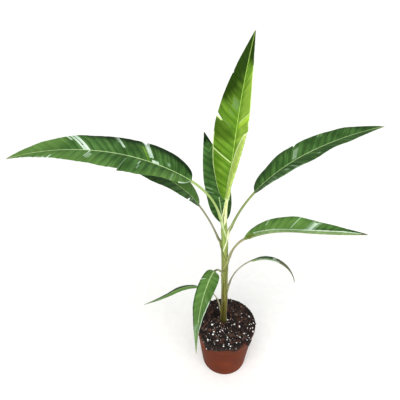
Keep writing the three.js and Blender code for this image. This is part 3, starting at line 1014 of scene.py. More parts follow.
# %% The leaf table
LEAVES = [
    dict(
        name="spear", plump=1.02, height=341.4, petiole=23, blade=232, stalk=(2.7, 2.1),
        rise=(91, 79, 78, 63), heading=(66, 66, 67, 66), roll=(-16, -6, -1),
        width=(33, 31), fold_left=(12, 21, 14), fold_right=(62, 44, 45), droop=21,
        peak=0.7, blunt=(0.73, 0.96), rib=(0.04, 1),
        tears=[(1, 0.447, 0.7, 0.009, 0, 0), (1, 0.70, 0.93, 0.008, 0, 0)],
        edges=[(-1, 0.0, 0.028, -20)],
        curl=[(-1, (0, 0.06, 0.12, 0.2, 0.27, 0.32, 0.36, 0.39, 0.41),
               (0.55, 0.6, 0.6, 0.6, 0.5, 0.36, 0.18, 0.06, 0))],
    ),
    dict(
        name="left_upper", margin=0.7, height=331, petiole=87, blade=255, stalk=(2.3, 1.8),
        rise=(84, 35, 8, -16), heading=(195, 184, 187, 189), roll=(-1, -2, -6),
        width=(32, 36), fold_left=(18, 5, 20), fold_right=(23, 15, 36), droop=18,
        peak=0.65, blunt=(0.47, 0.96),
        tears=[(1, 0.358, 0.16, -0.005, 5.5, 1.0), (-1, 0.232, 0.84, 0.014, 0, 0)],
        edges=[(1, 0.30, 0.045, 4), (-1, 0.15, 0.06, 2.5), (1, 0.012, 0.02, -8)],
        pleats=(0.6, 0.2), slant=(0.045, 0.09),
    ),
    dict(
        name="left_under", margin=0.8, height=287, petiole=76, blade=154, stalk=(1.8, 1.5),
        rise=(75, 54, 13, 5), heading=(178, 172, 164, 163), roll=(13, 4, -1),
        width=(26, 26), fold_left=(22, 16, 23), fold_right=(19, 20, 18), droop=20,
        peak=0.67, blunt=(0.57, 0.92),
        tears=[(1, 0.11, 0.3, 0.008, 0, 0)],
    ),
    dict(
        name="back", height=315, petiole=8, blade=140, stalk=(2, 1.8),
        rise=(82, 72, 56, 43), heading=(118, 118, 117, 117), roll=(7, 4, 5),
        width=(21, 21), fold_left=(22, 15, 18), fold_right=(12, 15, 14), droop=20,
        peak=0.67, blunt=(0.5, 0.96),
        edges=[(1, 0.03, 0.06, -3.5)], rib=(0, 0.28),
    ),
    dict(
        name="right_upper", margin=1.0, height=309, petiole=79, blade=197, stalk=(2.2, 1.7),
        rise=(77, 52, 27, 10), heading=(13, 13, 12, 11), roll=(-12, -6, -3),
        width=(29, 30), fold_left=(26, 24, 27), fold_right=(23, 16, 23), droop=19,
        peak=0.67, blunt=(0.58, 0.89),
        edges=[(-1, 0.60, 0.06, -4.5), (-1, 0.82, 0.06, 2), (1, 0.15, 0.04, -2),
               (1, 0.75, 0.08, 1.5)],
        tears=[(1, 0.335, 0.84, 0.012, 0, 0)],
    ),
    dict(
        name="right_middle", margin=0.4, plump=1.35, height=256, petiole=60, blade=176,
        stalk=(1.9, 1.6), rib=(0.08, 1),
        rise=(87, 48, 5, 8), heading=(-31, -24, -9, -4), roll=(3, -3, -13),
        width=(23, 27), fold_left=(25, 32, 28), fold_right=(56, 54, 63), droop=19,
        peak=0.75, blunt=(0.52, 0.82),
        edges=[(-1, 0.35, 0.3, -11), (-1, 0.02, 0.03, -7), (1, 0.45, 0.12, 1.5)],
    ),
    dict(
        name="right_low", height=190, petiole=71, blade=99, stalk=(1.5, 1.2),
        rise=(89, 38, -26, -82), heading=(6, -1, -7, -11), roll=(-31, -27, -23),
        width=(10, 9), fold_left=(14, 21, 23), fold_right=(14, 16, 10), droop=20,
        peak=0.62, blunt=(0.51, 0.92),
        edges=[(1, 0.07, 0.07, -3.4), (-1, 0.07, 0.07, -3.4)],
    ),
    dict(
        name="front_left", margin=0, height=228, petiole=49, blade=157, stalk=(1.5, 1.4),
        rise=(63, 30, -72, -88), heading=(242, 257, 253, 250), roll=(-12, 16, 33),
        width=(15, 13), fold_left=(-1, 49, 53), fold_right=(18, 17, 17), droop=19,
        peak=0.6, blunt=(0.54, 1.15),
    ),
    dict(
        name="left_low", margin=0, plump=0.95, height=135, petiole=80, blade=99,
        stalk=(1.5, 1.3),
        rise=(90, 34, -25, -8), heading=(200, 204, 203, 202), roll=(27, 31, 37),
        width=(11, 8), fold_left=(10, 5, 10), fold_right=(12, 13, 14), droop=21,
        peak=0.63, blunt=(0.5, 0.9),
    ),
]
VEIN_SLANT = 0.09
TIP_HALF_WIDTH = 0.3
print("leaves:", len(LEAVES), "total blade length", sum(l["blade"] for l in LEAVES), "mm")

# %% [markdown]
# ### Where the white falls
# In a variegated leaf, a cell line that lost its green fills a sector between veins, so
# every streak keeps to its veins and ends raggedly. `cream` is bare white tissue,
# `pale` has a thin green layer over white, `lime` is young yellow green, and `dry` is a
# tip that has died back. A mark is its paint and side, from where to where it runs along
# the blade, and from where to where across the half.

# %% The marks of each leaf
MARKS = {
    "spear": [
        ("cream", 1, 0.252, 0.262, 0.06, 1.0),
        ("pale", 1, 0.560, 0.615, 0.05, 0.42),
        ("pale", 1, 0.520, 0.530, 0.15, 0.55),
        ("pale", 1, 0.452, 0.458, 0.25, 0.7),
        ("cream", 1, 0.436, 0.4465, 0.66, 1.0),
        ("cream", -1, 0.42, 0.76, 0.97, 1.0),
        ("lime", -1, 0.455, 0.495, 0.1, 1.0),
        ("cream", -1, 0.489, 0.495, 0.1, 1.0),
        ("cream", -1, 0.0, 0.41, 0.975, 1.0),
        ("cream", 1, 0.0, 0.04, 0.0, 0.2),
        ("cream", -1, 0.0, 0.04, 0.0, 1.0),
        ("cream", 1, 0.0, 0.35, 0.97, 1.0),
    ],
    "left_upper": [
        ("cream", -1, 0.555, 0.588, 0.02, 1.0),
        ("green", -1, 0.571, 0.5755, 0.35, 1.0),
        ("cream", -1, 0.596, 0.606, 0.62, 1.0),
        ("cream", -1, 0.353, 0.368, 0.36, 0.92),
        ("pale", -1, 0.368, 0.377, 0.6, 0.95),
        ("lime", -1, 0.243, 0.258, 0.04, 0.75),
        ("cream", -1, 0.219, 0.243, 0.14, 1.0),
        ("cream", -1, 0.196, 0.232, 0.03, 0.16),
        ("pale", -1, 0.128, 0.142, 0.10, 0.32),
        ("cream", 1, 0.551, 0.5585, 0.05, 0.6),
        ("pale", 1, 0.527, 0.546, 0.25, 0.7),
        ("pale", 1, 0.3575, 0.3615, 0.2, 1.0),
        ("cream", 1, 0.287, 0.292, 0.19, 0.5),
        ("pale", 1, 0.276, 0.287, 0.45, 0.76),
        ("pale", 1, 0.105, 0.113, 0.28, 1.0),
        ("cream", 1, 0.0, 0.075, 0.88, 1.0),
        ("cream", 1, 0.716, 0.728, 0.6, 0.95),
        ("pale", 1, 0.74, 0.80, 0.8, 1.0),
        ("dry", 1, 0.955, 1.0, 0.0, 1.0),
        ("dry", -1, 0.965, 1.0, 0.0, 1.0),
    ],
    "left_under": [("pale", 1, 0.085, 0.100, 0.1, 0.8)],
    "back": [
        ("pale", 1, 0.300, 0.312, 0.35, 0.95),
        ("pale", 1, 0.338, 0.350, 0.4, 0.95),
    ],
    "right_upper": [
        ("pale", 1, 0.340, 0.376, 0.05, 0.68),
        ("cream", 1, 0.346, 0.349, 0.1, 0.6),
        ("pale", 1, 0.502, 0.535, 0.68, 1.0),
        ("lime", 1, 0.508, 0.526, 0.75, 1.0),
        ("cream", -1, 0.286, 0.294, 0.38, 1.0),
        ("pale", -1, 0.448, 0.470, 0.6, 0.82),
        ("pale", -1, 0.240, 0.255, 0.4, 0.8),
        ("pale", -1, 0.155, 0.162, 0.3, 0.9),
        ("pale", -1, 0.06, 0.33, 0.955, 1.0),
        ("dry", 1, 0.965, 1.0, 0.0, 1.0),
        ("dry", -1, 0.965, 1.0, 0.0, 1.0),
    ],
    "right_middle": [
        ("cream", 1, 0.187, 0.194, 0.5, 0.95),
        ("cream", 1, 0.411, 0.419, 0.1, 1.0),
        ("pale", 1, 0.512, 0.602, 0.03, 1.0),
        ("cream", 1, 0.545, 0.572, 0.05, 0.85),
        ("cream", -1, 0.10, 0.97, 0.86, 1.0),
        ("cream", -1, 0.45, 0.97, 0.6, 0.9),
        ("lime", -1, 0.0, 0.12, 0.0, 1.0),
        ("lime", 1, 0.0, 0.05, 0.0, 1.0),
        ("dry", -1, 0.93, 1.0, 0.0, 1.0),
        ("dry", 1, 0.965, 1.0, 0.0, 1.0),
    ],
    "right_low": [
        ("dry", 1, 0.40, 1.0, 0.0, 1.0),
        ("dry", -1, 0.40, 1.0, 0.0, 1.0),
        ("cream", 1, 0.36, 0.40, 0.0, 0.8),
        ("cream", -1, 0.36, 0.40, 0.0, 1.0),
        ("cream", -1, 0.05, 0.36, 0.78, 1.0),
    ],
    "front_left": [
        ("cream", -1, 0.141, 0.148, 0.45, 1.0),
        ("cream", 1, 0.28, 0.60, 0.92, 1.0),
        ("pale", 1, 0.317, 0.325, 0.2, 0.8),
        ("pale", 1, 0.62, 1.0, 0.1, 0.8),
        ("cream", 1, 0.74, 1.0, 0.3, 0.9),
        ("pale", -1, 0.585, 1.0, 0.12, 1.0),
        ("cream", -1, 0.80, 1.0, 0.25, 0.8),
        ("cream", -1, 0.52, 0.90, 0.0, 0.11),
        ("cream", 1, 0.50, 0.92, 0.0, 0.15),
    ],
    "left_low": [("lime", 1, 0.2, 0.5, 0.0, 0.7)],
}
PAINTS = ["green", "cream", "pale", "lime", "rib", "dry"]
print("streaks and dry tips:", sum(len(marks) for marks in MARKS.values()))

# %% [markdown]
# ### Painted light and shade on the leaves
# The light on the leaves isn't even either, and it is painted into their green. Painted
# shade deepens the green where a blade turns away from the light, towards a margin or a
# tip. Painted light makes it paler and yellower where a glossy blade shows the haze of the
# sky, or where the new leaf is lit from behind. Each line here is one soft band: its side,
# how much darker (painted shade, below 0) or paler and yellower (painted light, above 0),
# how soft its limit is, and the limit as shares of the half width at places along the
# blade. It lies outside the limit.

# %% The painted light and shade of each leaf
LEAF_LIGHT_AND_SHADE = {
    "spear": [
        (1, -0.5, 0.45, (0, 0.47, 0.54, 0.64, 1), (1.8, 1.5, 0.8, -0.4, -0.5)),
        (1, -0.45, 0.5, (0, 0.5, 0.64, 0.82, 1), (1.6, 1.3, 0.5, -0.4, -0.6)),
        (1, -0.4, 0.4, (0, 0.7, 0.86, 1), (1.8, 1.4, -0.3, -0.5)),
        (1, -0.35, 0.3, (0, 0.3, 0.36, 0.43, 0.46, 1), (1.6, 1.4, 0.1, -0.1, 1.5, 1.6)),
        (1, -0.3, 0.6, (0, 0.3, 0.44, 0.5, 1), (0.6, 0.5, 0.0, 0.3, 1.0)),
        (-1, -1.0, 0.45, (0, 0.72, 0.82, 0.9, 1), (1.7, 1.4, 0.3, -0.6, -0.7)),
        (-1, 0.3, 0.3, (0, 0.6, 0.76, 1), (0.2, 0.2, 1.0, 1.5)),
    ],
    "left_upper": [
        (
            -1, -1.0, 0.26,
            (0, 0.04, 0.10, 0.15, 0.2, 0.32, 0.41, 0.5, 0.56, 1),
            (0.6, 0.62, 0.74, 0.8, 0.86, 0.82, 0.86, 0.95, 1.3, 1.4),
        ),
        (-1, -0.3, 0.5, (0, 0.4, 0.55, 1), (0.5, 0.5, 1.2, 1.6)),
        (-1, 0.3, 0.5, (0, 0.5, 0.7, 1), (1.6, 1.5, 0.2, -0.4)),
        (1, 0.25, 0.5, (0, 0.1, 0.3, 0.55, 1), (0.3, 0.2, 1.2, 0.4, -0.4)),
    ],
    "left_under": [
        (-1, 0.25, 0.4, (0, 0.3, 0.4, 1), (-0.5, -0.5, 1.2, 1.2)),
        (1, -0.3, 0.4, (0, 0.3, 1), (1.4, 0.7, 0.5)),
    ],
    "back": [
        (1, -1.0, 0.25, (0, 0.78, 0.88, 1), (1.6, 1.4, 0.2, -0.6)),
        (-1, -1.0, 0.25, (0, 0.78, 0.88, 1), (1.6, 1.4, 0.2, -0.6)),
        (-1, -0.5, 0.3, (0, 0.4, 1), (0.0, 1.5, 1.5)),
    ],
    "right_upper": [
        (1, -0.35, 0.3, (0, 0.68, 0.85, 1), (1.6, 1.4, 0.1, -0.5)),
        (1, -0.4, 0.3, (0, 0.3, 1), (0.4, 0.8, 0.7)),
        (-1, -0.25, 0.4, (0, 0.5, 1), (0.0, 0.2, 0.4)),
    ],
    "right_middle": [
        (1, 0.35, 0.4, (0, 0.45, 0.6, 1), (-0.5, -0.5, 0.6, 1.0)),
        (1, -0.3, 0.25, (0, 1), (0.85, 0.8)),
    ],
    "left_low": [(-1, -0.8, 0.3, (0, 1), (0.1, 0.1)), (1, 0.45, 0.4, (0, 1), (0.0, 0.0))],
    "front_left": [
        (-1, 0.25, 0.4, (0, 0.6, 1), (-0.4, -0.4, -0.4)),
        (-1, -0.6, 0.12, (0, 1), (0.88, 0.88)),
        (-1, 0.5, 0.3, (0, 0.62, 0.8, 1), (1.5, 1.2, -0.3, -0.4)),
        (1, -0.15, 0.3, (0, 1), (0.6, 0.4)),
        (1, 0.3, 0.3, (0, 0.7, 1), (-0.4, -0.4, -0.4)),
    ],
    "right_low": [(1, -0.7, 0.3, (0, 1), (0.1, 0.1))],
}
print("soft bands:", sum(len(bands) for bands in LEAF_LIGHT_AND_SHADE.values()))

# %% [markdown]
# ### Leaf skin
# A banana leaf is a glossy film about half a millimetre thick. Its upper side is a
# fresh green, darker between the veins, and the under side is paler and greyer under a
# bloom of wax. Parallel side veins, a bit over a millimetre apart, catch the light. All
# of it is drawn on the leaf's own UV map, whose first length runs along the midrib and
# stays the same all along a vein.


# %% The skin recipe
# Tints of painted shade and painted light, for mature and for young leaves: the deepest
# green, and the paler, yellower green of hazy, sunlit and backlit parts
MATURE_SHADE_AND_LIGHT = ("102a0a", "82ad55")
YOUNG_SHADE_AND_LIGHT = ("243f02", "c3e659")
# Millimetres along the midrib and along a vein: bands of a vein or two that share a
# tint, the veins themselves, and the wisps that a streak breaks up into
TINT_CELL = (2.0833, 41.667, 1000)
VEIN_CELL = (1.2987, 166.67, 1000)
WISP_CELL = (0.66667, 7.6923, 1000)
PLEAT = 10.472  # millimetres from one pleat of the lamina to the next
WAVE_LENGTH = 0.1 * math.pi  # metres, of a wave texture at scale 1


def leaf_skin(shade_and_light_tints, name, dark, middle, light, rough, vein_depth, tone, around=None):
    """Three tints, gloss, vein height in mm, and how strongly the painted shade and light
    show.

    The first argument gives the tints of painted shade and painted light, the deepest and
    the yellowest green, and `around` the three tints of the tissue that a streak breaks up
    into where it stops.
    """
    material, tree, shader = new_material(name)
    map_mm = add(tree, "UVMap", {}, uv_map="skin")
    streaks = add(tree, "Mapping", {"Vector": map_mm, "Scale": cells(*TINT_CELL)})
    tint = add(tree, "TexNoise", {"Vector": streaks, "Scale": 1, "Detail": 3})
    fine = add(tree, "Mapping", {"Vector": map_mm, "Scale": cells(*VEIN_CELL)})
    veins = add(tree, "TexNoise", {"Vector": fine, "Scale": 1, "Detail": 1})
    # Lighter and deeper clouds, 22 mm wide
    place = add(tree, "TexCoord", {}, "Object")
    cloud = add(tree, "TexNoise", {"Vector": place, "Scale": cells(22.222), "Detail": 3})
    both = add(tree, "Math", [tint, cloud], operation="ADD")
    lined = add(tree, "Math", [veins, 0.35, both], operation="MULTIPLY_ADD")
    level = add(tree, "MapRange", [lined, 0.875, 1.495])
    stops = ((0, dark), (0.5, middle), (1, light))
    colour = add(tree, "ValToRGB", [level], stops=stops)
    coats = []
    if around:
        near_end = add(tree, "Attribute", {}, "Fac", attribute_name="fade")
        torn = add(tree, "Mapping", {"Vector": map_mm, "Scale": cells(*WISP_CELL)})
        wisps = add(tree, "TexNoise", {"Vector": torn, "Scale": 1, "Detail": 2})
        gone = add(tree, "Math", [near_end, wisps], operation="ADD")
        stops = tuple(zip((0, 0.5, 1), around))
        rest = add(tree, "ValToRGB", [level], stops=stops)
        coats.append((add(tree, "MapRange", [gone, 1, 1.12]), rest))
    # Painted shade: the far side of each pleat is painted a little darker, in the skin's
    # dark tint
    waves = {"Scale": WAVE_LENGTH / (PLEAT * MM), "Distortion": 2.5}
    waves.update({"Vector": map_mm, "Detail": 2, "Detail Scale": 1.5})
    pleats = add(tree, "TexWave", waves, "Fac")
    coats.append((add(tree, "MapRange", [pleats, 0.45, 0.05, 0, 0.7 * tone]), dark))
    # Painted light and shade: the mesh's soft bands blend in the shade tint below 0 and the
    # light tint above 0
    shade = add(tree, "Attribute", {}, "Fac", attribute_name="shade")
    for limit, end in zip((-1, 1), shade_and_light_tints):
        coats.append((add(tree, "MapRange", [shade, 0, limit, 0, tone]), end))
    for share, coat in coats:
        sockets = {0: share, UNDER: colour, OVER: coat}
        colour = add(tree, "Mix", sockets, MIXED, data_type="RGBA")
    gloss = add(tree, "MapRange", [tint, 0.3, 0.7, rough + 0.06, rough - 0.06])
    relief = {"Height": veins, "Strength": 0.5, "Distance": vein_depth * MM}
    plug(
        shader,
        {
            "Base Color": colour,
            "Roughness": gloss,
            "IOR": 1.42,
            "Specular IOR Level": 0.1,
            "Normal": add(tree, "Bump", relief),
        },
    )
    return material


# %% The skins of mature leaves and of the new one
GREEN = ("2a4a1e", "41672f", "598343")
GREEN_UNDER = ("6a8752", "7e9d63", "93b077")
YOUNG_GREEN = ("56841e", "74a02e", "94bf44")
YOUNG_UNDER = ("93ab50", "a8c062", "bdd37a")
# Name, three tints, roughness, height of the veins, how strongly shading shows, and the
# tissue round a streak: first the six paints of the upper side, then of the under side
MATURE_SKINS = [
    ("green_leaf_skin", *GREEN, 0.45, 0.35, 1),
    ("white_sector_skin", "8fae92", "c2d9c4", "e0eedd", 0.45, 0.3, 0.5, GREEN),
    ("pale_sector_skin", "5d7c5a", "7d9a78", "a3bd9c", 0.44, 0.3, 0.6, GREEN),
    ("lime_sector_skin", "45701c", "5c862a", "7aa03e", 0.43, 0.3, 0.8, GREEN),
    ("pale_midrib", "89a66c", "a5c287", "c1d7a3", 0.4, 0.1, 0.3),
    ("dried_tip", "4b4f38", "6b7053", "8b9072", 0.6, 0.3, 0.3, GREEN),
    ("leaf_underside", *GREEN_UNDER, 0.6, 0.5, 0.8),
    ("white_underside", "b9cfae", "cfe2c4", "e2efd8", 0.6, 0.4, 0.3, GREEN_UNDER),
    ("pale_underside", "8fa97f", "a3bb92", "b9cfa8", 0.6, 0.4, 0.6, GREEN_UNDER),
    ("lime_underside", "5a6a2c", "70803a", "8a9a52", 0.6, 0.4, 0.6, GREEN_UNDER),
    ("midrib_ridge", "6c7b48", "889863", "a5b280", 0.5, 0.1, 0.3),
    ("dried_underside", "5a4c3c", "7a6a56", "998870", 0.7, 0.3, 0.3, GREEN_UNDER),
]
YOUNG_SKINS = [
    ("young_leaf_skin", *YOUNG_GREEN, 0.4, 0.4, 1),
    ("young_white_skin", "c2dc8c", "dcf2a2", "edfbbd", 0.42, 0.3, 0.2, YOUNG_GREEN),
    ("young_pale_skin", "668f42", "7ca355", "95b670", 0.42, 0.3, 0.6, YOUNG_GREEN),
    ("young_lime_skin", "84b024", "9ccb32", "bbe44c", 0.4, 0.3, 0.8, YOUNG_GREEN),
    ("young_midrib", "9fcb50", "b9e06a", "d3f28e", 0.4, 0.1, 0.3),
    ("young_tip", "55682c", "6f803c", "8a9a50", 0.5, 0.3, 0.3, YOUNG_GREEN),
    ("young_underside", *YOUNG_UNDER, 0.55, 0.4, 0.6),
    ("young_white_under", "c6dc94", "dcefae", "ecf8c4", 0.55, 0.3, 0.2, YOUNG_UNDER),
    ("young_pale_under", "98b468", "adc67c", "c0d492", 0.55, 0.3, 0.5, YOUNG_UNDER),
    ("young_lime_under", "a3be50", "b8d264", "cbe27c", 0.55, 0.3, 0.5, YOUNG_UNDER),
    ("young_ridge", "aec95c", "c5de7a", "dbf09a", 0.5, 0.1, 0.3),
    ("young_tip_under", "65783c", "7f904c", "9aaa60", 0.5, 0.3, 0.3, YOUNG_UNDER),
]
MATURE = [leaf_skin(MATURE_SHADE_AND_LIGHT, *skin) for skin in MATURE_SKINS]
YOUNG = [leaf_skin(YOUNG_SHADE_AND_LIGHT, *skin) for skin in YOUNG_SKINS]
print("leaf skins:", len(MATURE), "mature and", len(YOUNG), "young")

# %% [markdown]
# ### Spine
# The spine is worked out as short straight steps, and gives a point and three
# directions at any length along it: forward, to the left, and up out of the blade.


# %% The spine's rule
SPINE_STEPS = 480
SEAT_GAP = 0.3  # millimetres between the solids of a stalk and the stem


class Spine:
    def __init__(self, leaf):
        length = leaf["petiole"] + leaf["blade"]
        self.knots = [0, leaf["petiole"], leaf["petiole"] + leaf["blade"] / 2, length]
        self.rise = np.radians(leaf["rise"])
        self.heading = np.radians(leaf["heading"])
        self.roll = np.radians(leaf["roll"])
        out = 0.0
        if leaf["name"] != "spear":
            out = stem_r(leaf["height"]) + SEAT_GAP + leaf["stalk"][0]
        x = stem_x(leaf["height"]) + out * math.cos(self.heading[0])
        y = STEM_Y + out * math.sin(self.heading[0])
        start = np.array([x, y, leaf["height"]])
        size = length / SPINE_STEPS
        moves = self.forward((np.arange(SPINE_STEPS) + 0.5) * size) * size
        self.places = np.arange(SPINE_STEPS + 1) * size
        self.points = np.vstack([start, start + np.cumsum(moves, 0)])

    def forward(self, s):
        up = np.interp(s, self.knots, self.rise)
        turn = np.interp(s, self.knots, self.heading)
        level = np.cos(up)
        return np.stack([level * np.cos(turn), level * np.sin(turn), np.sin(up)], -1)

    def frame(self, s):
        """Point, left and up at lengths s."""
        axes = [np.interp(s, self.places, axis) for axis in self.points.T]
        point = np.stack(axes, -1) + np.minimum(s, 0)[..., None] * self.forward(0 * s)
        forward = self.forward(s)
        turn = np.interp(s, self.knots, self.heading)
        roll = np.interp(s, self.knots[1:], self.roll)[..., None]
        level = np.stack([-np.sin(turn), np.cos(turn), 0 * turn], -1)
        over = np.cross(forward, level)
        left = level * np.cos(roll) + over * np.sin(roll)
        return point, left, np.cross(forward, left)


print("tip of the spear, mm:", Spine(LEAVES[0]).points[-1].round(1).tolist())

# %% [markdown]
# ### Petiole and collar
# The stalk is a gutter: round below, hollowed above, with a lip along each side. Where
# it meets the stem it opens out into the collar of its sheath, which wraps the stem
# and closes on the far side 44 mm lower down. One cylinder makes both. Its rings are
# set round the stem at first and then let go of it and close into the gutter.

# %% Wrap a sheath round the stem
COLLAR_DROP = 44
STALK_SIDES = 88


def wrapped(leaf, t, outside, z):
    """Ring point on the stem's surface: t runs 0 to 1 across the sheath."""
    top = leaf["height"]
    climb = np.clip((z - (top - COLLAR_DROP)) / COLLAR_DROP, 0, 1)
    grip = math.atan2(leaf["stalk"][0] * 1.1, stem_r(top))
    half = mix(math.radians(178), grip, climb)
    turn = math.radians(leaf["heading"][0]) + (1 - 2 * t) * half
    edge = 1 - np.abs(1 - 2 * t) ** 12
    lift = (0.02 + COLLAR * step(climb, 0, 0.6)) * (0.35 + 0.65 * edge)
    lift = lift + stem_relief(z, turn) * (1 - climb)
    swell = leaf["stalk"][0] * 1.4 * step(climb, 0.62, 1.0) * edge
    skin = slim(z) + np.where(outside, lift + swell, -0.3)
    margin = (1 - np.abs(1 - 2 * t)) * half * skin
    x, y = stem_x(z) + skin * np.cos(turn), STEM_Y + skin * np.sin(turn)
    return np.stack([x, y, z], -1), turn, margin


# %% Shape a stalk
SPEAR_DROP = 26  # how far the spear's own sheath reaches down inside the others
RING = 0.9  # millimetres of stalk to a ring
LIP = 0.16  # share of a ring that stands up as a lip, to each side
HOLLOWED = 0.72  # radius of the gutter's inside to that of its outside


def overlap(leaf):
    """How far the stalk runs on under the blade, where the ridge takes over from it."""
    return min(8, 0.06 * leaf["blade"])


def make_petiole(leaf, spine):
    """The stalk, and what its mesh notes down for its material."""
    length = leaf["petiole"]
    spear = leaf["name"] == "spear"
    drop = SPEAR_DROP if spear else COLLAR_DROP
    stalk = ringed_tube(STALK_SIDES, int((length + drop) / RING))
    p = points_of(stalk)
    s = mix(-drop, length + overlap(leaf), p[:, 2] + 0.5)
    around = np.degrees(np.arctan2(p[:, 1], p[:, 0]))
    outside = around <= 0.01
    t = np.clip(np.abs(around) / 180, 0, 1)  # 0 at the left lip, 1 at the right
    point, left, up = spine.frame(s)
    # The gutter: how wide and deep it is, and how tall its lips stand, at each ring
    out = np.maximum(s, 0)
    near = np.exp(-out / 15)
    foot_r, end_r = leaf["stalk"]
    r = leaf.get("plump", 1.18) * mix(end_r, foot_r, np.exp(-out / 18))
    ending = step(s, length - 1, length + overlap(leaf))
    r = r * (1 - 0.5 * ending) * (1 - 0.5 * step(-s, 10, 26))
    swept = math.pi * np.clip((t - LIP) / (1 - 2 * LIP), 0, 1)
    wing = np.clip((np.abs(t - 0.5) - (0.5 - LIP)) / LIP, 0, 1)
    tall = wing * r * (0.3 + 1.2 * near) * (1 - ending)
    wide = np.where(outside, r, HOLLOWED * r)
    deep = np.where(outside, r, HOLLOWED * r * (0.12 + 0.75 * near))
    side = np.cos(swept) * wide
    rise = tall - np.sin(swept) * deep - 0.5 * ending * end_r
    ring = point + left * side[:, None] + up * rise[:, None]
    turn = np.arctan2(ring[:, 1] - STEM_Y, ring[:, 0] - stem_x(ring[:, 2]))
    free = step(s, -18, -8)
    lip = wing**3
    out_turn = math.radians(leaf["heading"][0])
    out_way = np.array([math.cos(out_turn), math.sin(out_turn), 0])
    left_way = np.array([-math.sin(out_turn), math.cos(out_turn), 0])
    grain = side[:, None] * left_way + (4 - rise)[:, None] * out_way
    grain[:, 2] = leaf["height"] + s
    grain *= MM
    if not spear:
        # The sheath: its rings lie round the stem until the stalk lets go of it
        top = leaf["height"]
        z = np.minimum(top + s, top + 14)
        collar, turn, margin = wrapped(leaf, t, outside, np.minimum(z, top))
        collar[:, 2] = z
        on_margin = leaf.get("margin", 0.2) * (1 - step(margin, 1.6, 3.0))
        lip = mix(on_margin, lip, step(s, -6, 6))
        free = step(s, -4, 10)
        ring = mix(collar, ring, free[:, None])
        grain = mix(grain_of(turn, z), grain, free[:, None])
    sculpt(stalk, ring * MM)
    round_side = outside * (1 - wing) * np.sin(swept) ** 2
    return stalk, {
        "stalk": free,
        "flank": mix(tan_band(turn), round_side, free),
        "lip": np.clip(lip * (1 - step(s, 8, 30)), 0, 1),
        "grain": grain,
    }


# %% [markdown]
# ### Skin of the stalks
# A stalk ages as its leaf does: cream and lime on the new leaf, then green, and in the
# end grey or brown and dry. Two old ones on the left share a skin, and a leaf that has
# none of its own here has a stalk like the sheaths.

# %% Make the stalks
# Two tints of the stalk, the tint of its flank, and its lips
STALK_TINTS = {
    "spear": ("spear_petiole_skin", ("dbe694", "f3f7c2"), "d5de94", "f6f8cf"),
    "left_upper": ("young_petiole_skin", ("8aa654", "b6c984"), "869d5c", "e3edbf"),
    "right_upper": ("upper_petiole_skin", ("6f8046", "9dae6b"), "62663c", "eef2cc"),
    "left_under": ("grey_petiole_skin", ("6c6c4e", "98967a"), "7d7460", "58602c"),
    "right_middle": ("brown_petiole_skin", ("77764a", "a6a676"), "6a5d46", "c6cf98"),
    "right_low": ("dry_petiole_skin", ("77785c", "9fa084"), "776c56", "a6a880"),
}
STALK_SKIN = {name: fibrous_skin(*tints) for name, tints in STALK_TINTS.items()}
STALK_SKIN["left_low"] = STALK_SKIN["left_under"]

for leaf in LEAVES:
    stalk, marks = make_petiole(leaf, Spine(leaf))
    for key, values in marks.items():
        mark_points(stalk, key, values)
    close_and_turn_out(0.000001)
    dress(stalk, STALK_SKIN.get(leaf["name"], SHEATH_SKIN))
    smooth(stalk, 60)
    hand_over(stalk, "stalk_" + leaf["name"], "petiole", "petiole_" + leaf["name"])

# %% [markdown]
# ### Blades
# A blade is cut from a flat grid, as if laid on a bench: its rows are the side veins and
# its columns run along the midrib. On the flat grid the tears are slit open, and the
# faces of each streak are picked by their place and painted. Then the rule bends the
# whole grid along the spine, and Solidify gives it its film of thickness, with a stout
# ridge below the midrib.


# %% The outline of a blade
def outline(leaf, u, half):
    """Half width in millimetres at u of the blade's length: half is 0 left and 1 right."""
    u = np.clip(u, 1e-6, 1 - 1e-6)
    base, tip = leaf["blunt"]
    shape = np.sin(np.pi * u ** leaf["peak"]) ** mix(base, tip, u)
    width = np.where(half == 0, leaf["width"][0], leaf["width"][1])
    neck = leaf["stalk"][1] * (1 - u) ** 4
    reach = np.hypot(width * shape, neck) + TIP_HALF_WIDTH * u
    for side, at, wide, more in leaf.get("edges", []):
        reach = reach + more * bell(u, at, wide) * (half == (0 if side > 0 else 1))
    return np.maximum(reach, 0.2)


widest = {leaf["name"]: outline(leaf, np.linspace(0, 1, 99), 0).max() for leaf in LEAVES}
print("half widths on the left:", {name: round(w, 1) for name, w in widest.items()})

# %% [markdown]
# ### The flat grid
# A row of the grid is about a millimetre long, and shorter near the base and the tip.
# Each tear gets two rows of its own, a hair apart. The faces between them are deleted,
# and the points that lie inward of the tear are merged again.

# %% Lay out the flat grid
ROW = 0.95  # millimetres of blade to a row
SLIT = 0.0001  # half the width of a tear on the flat grid, in shares of the blade


def centres_of(blade):
    return np.array([face.center for face in blade.data.polygons])


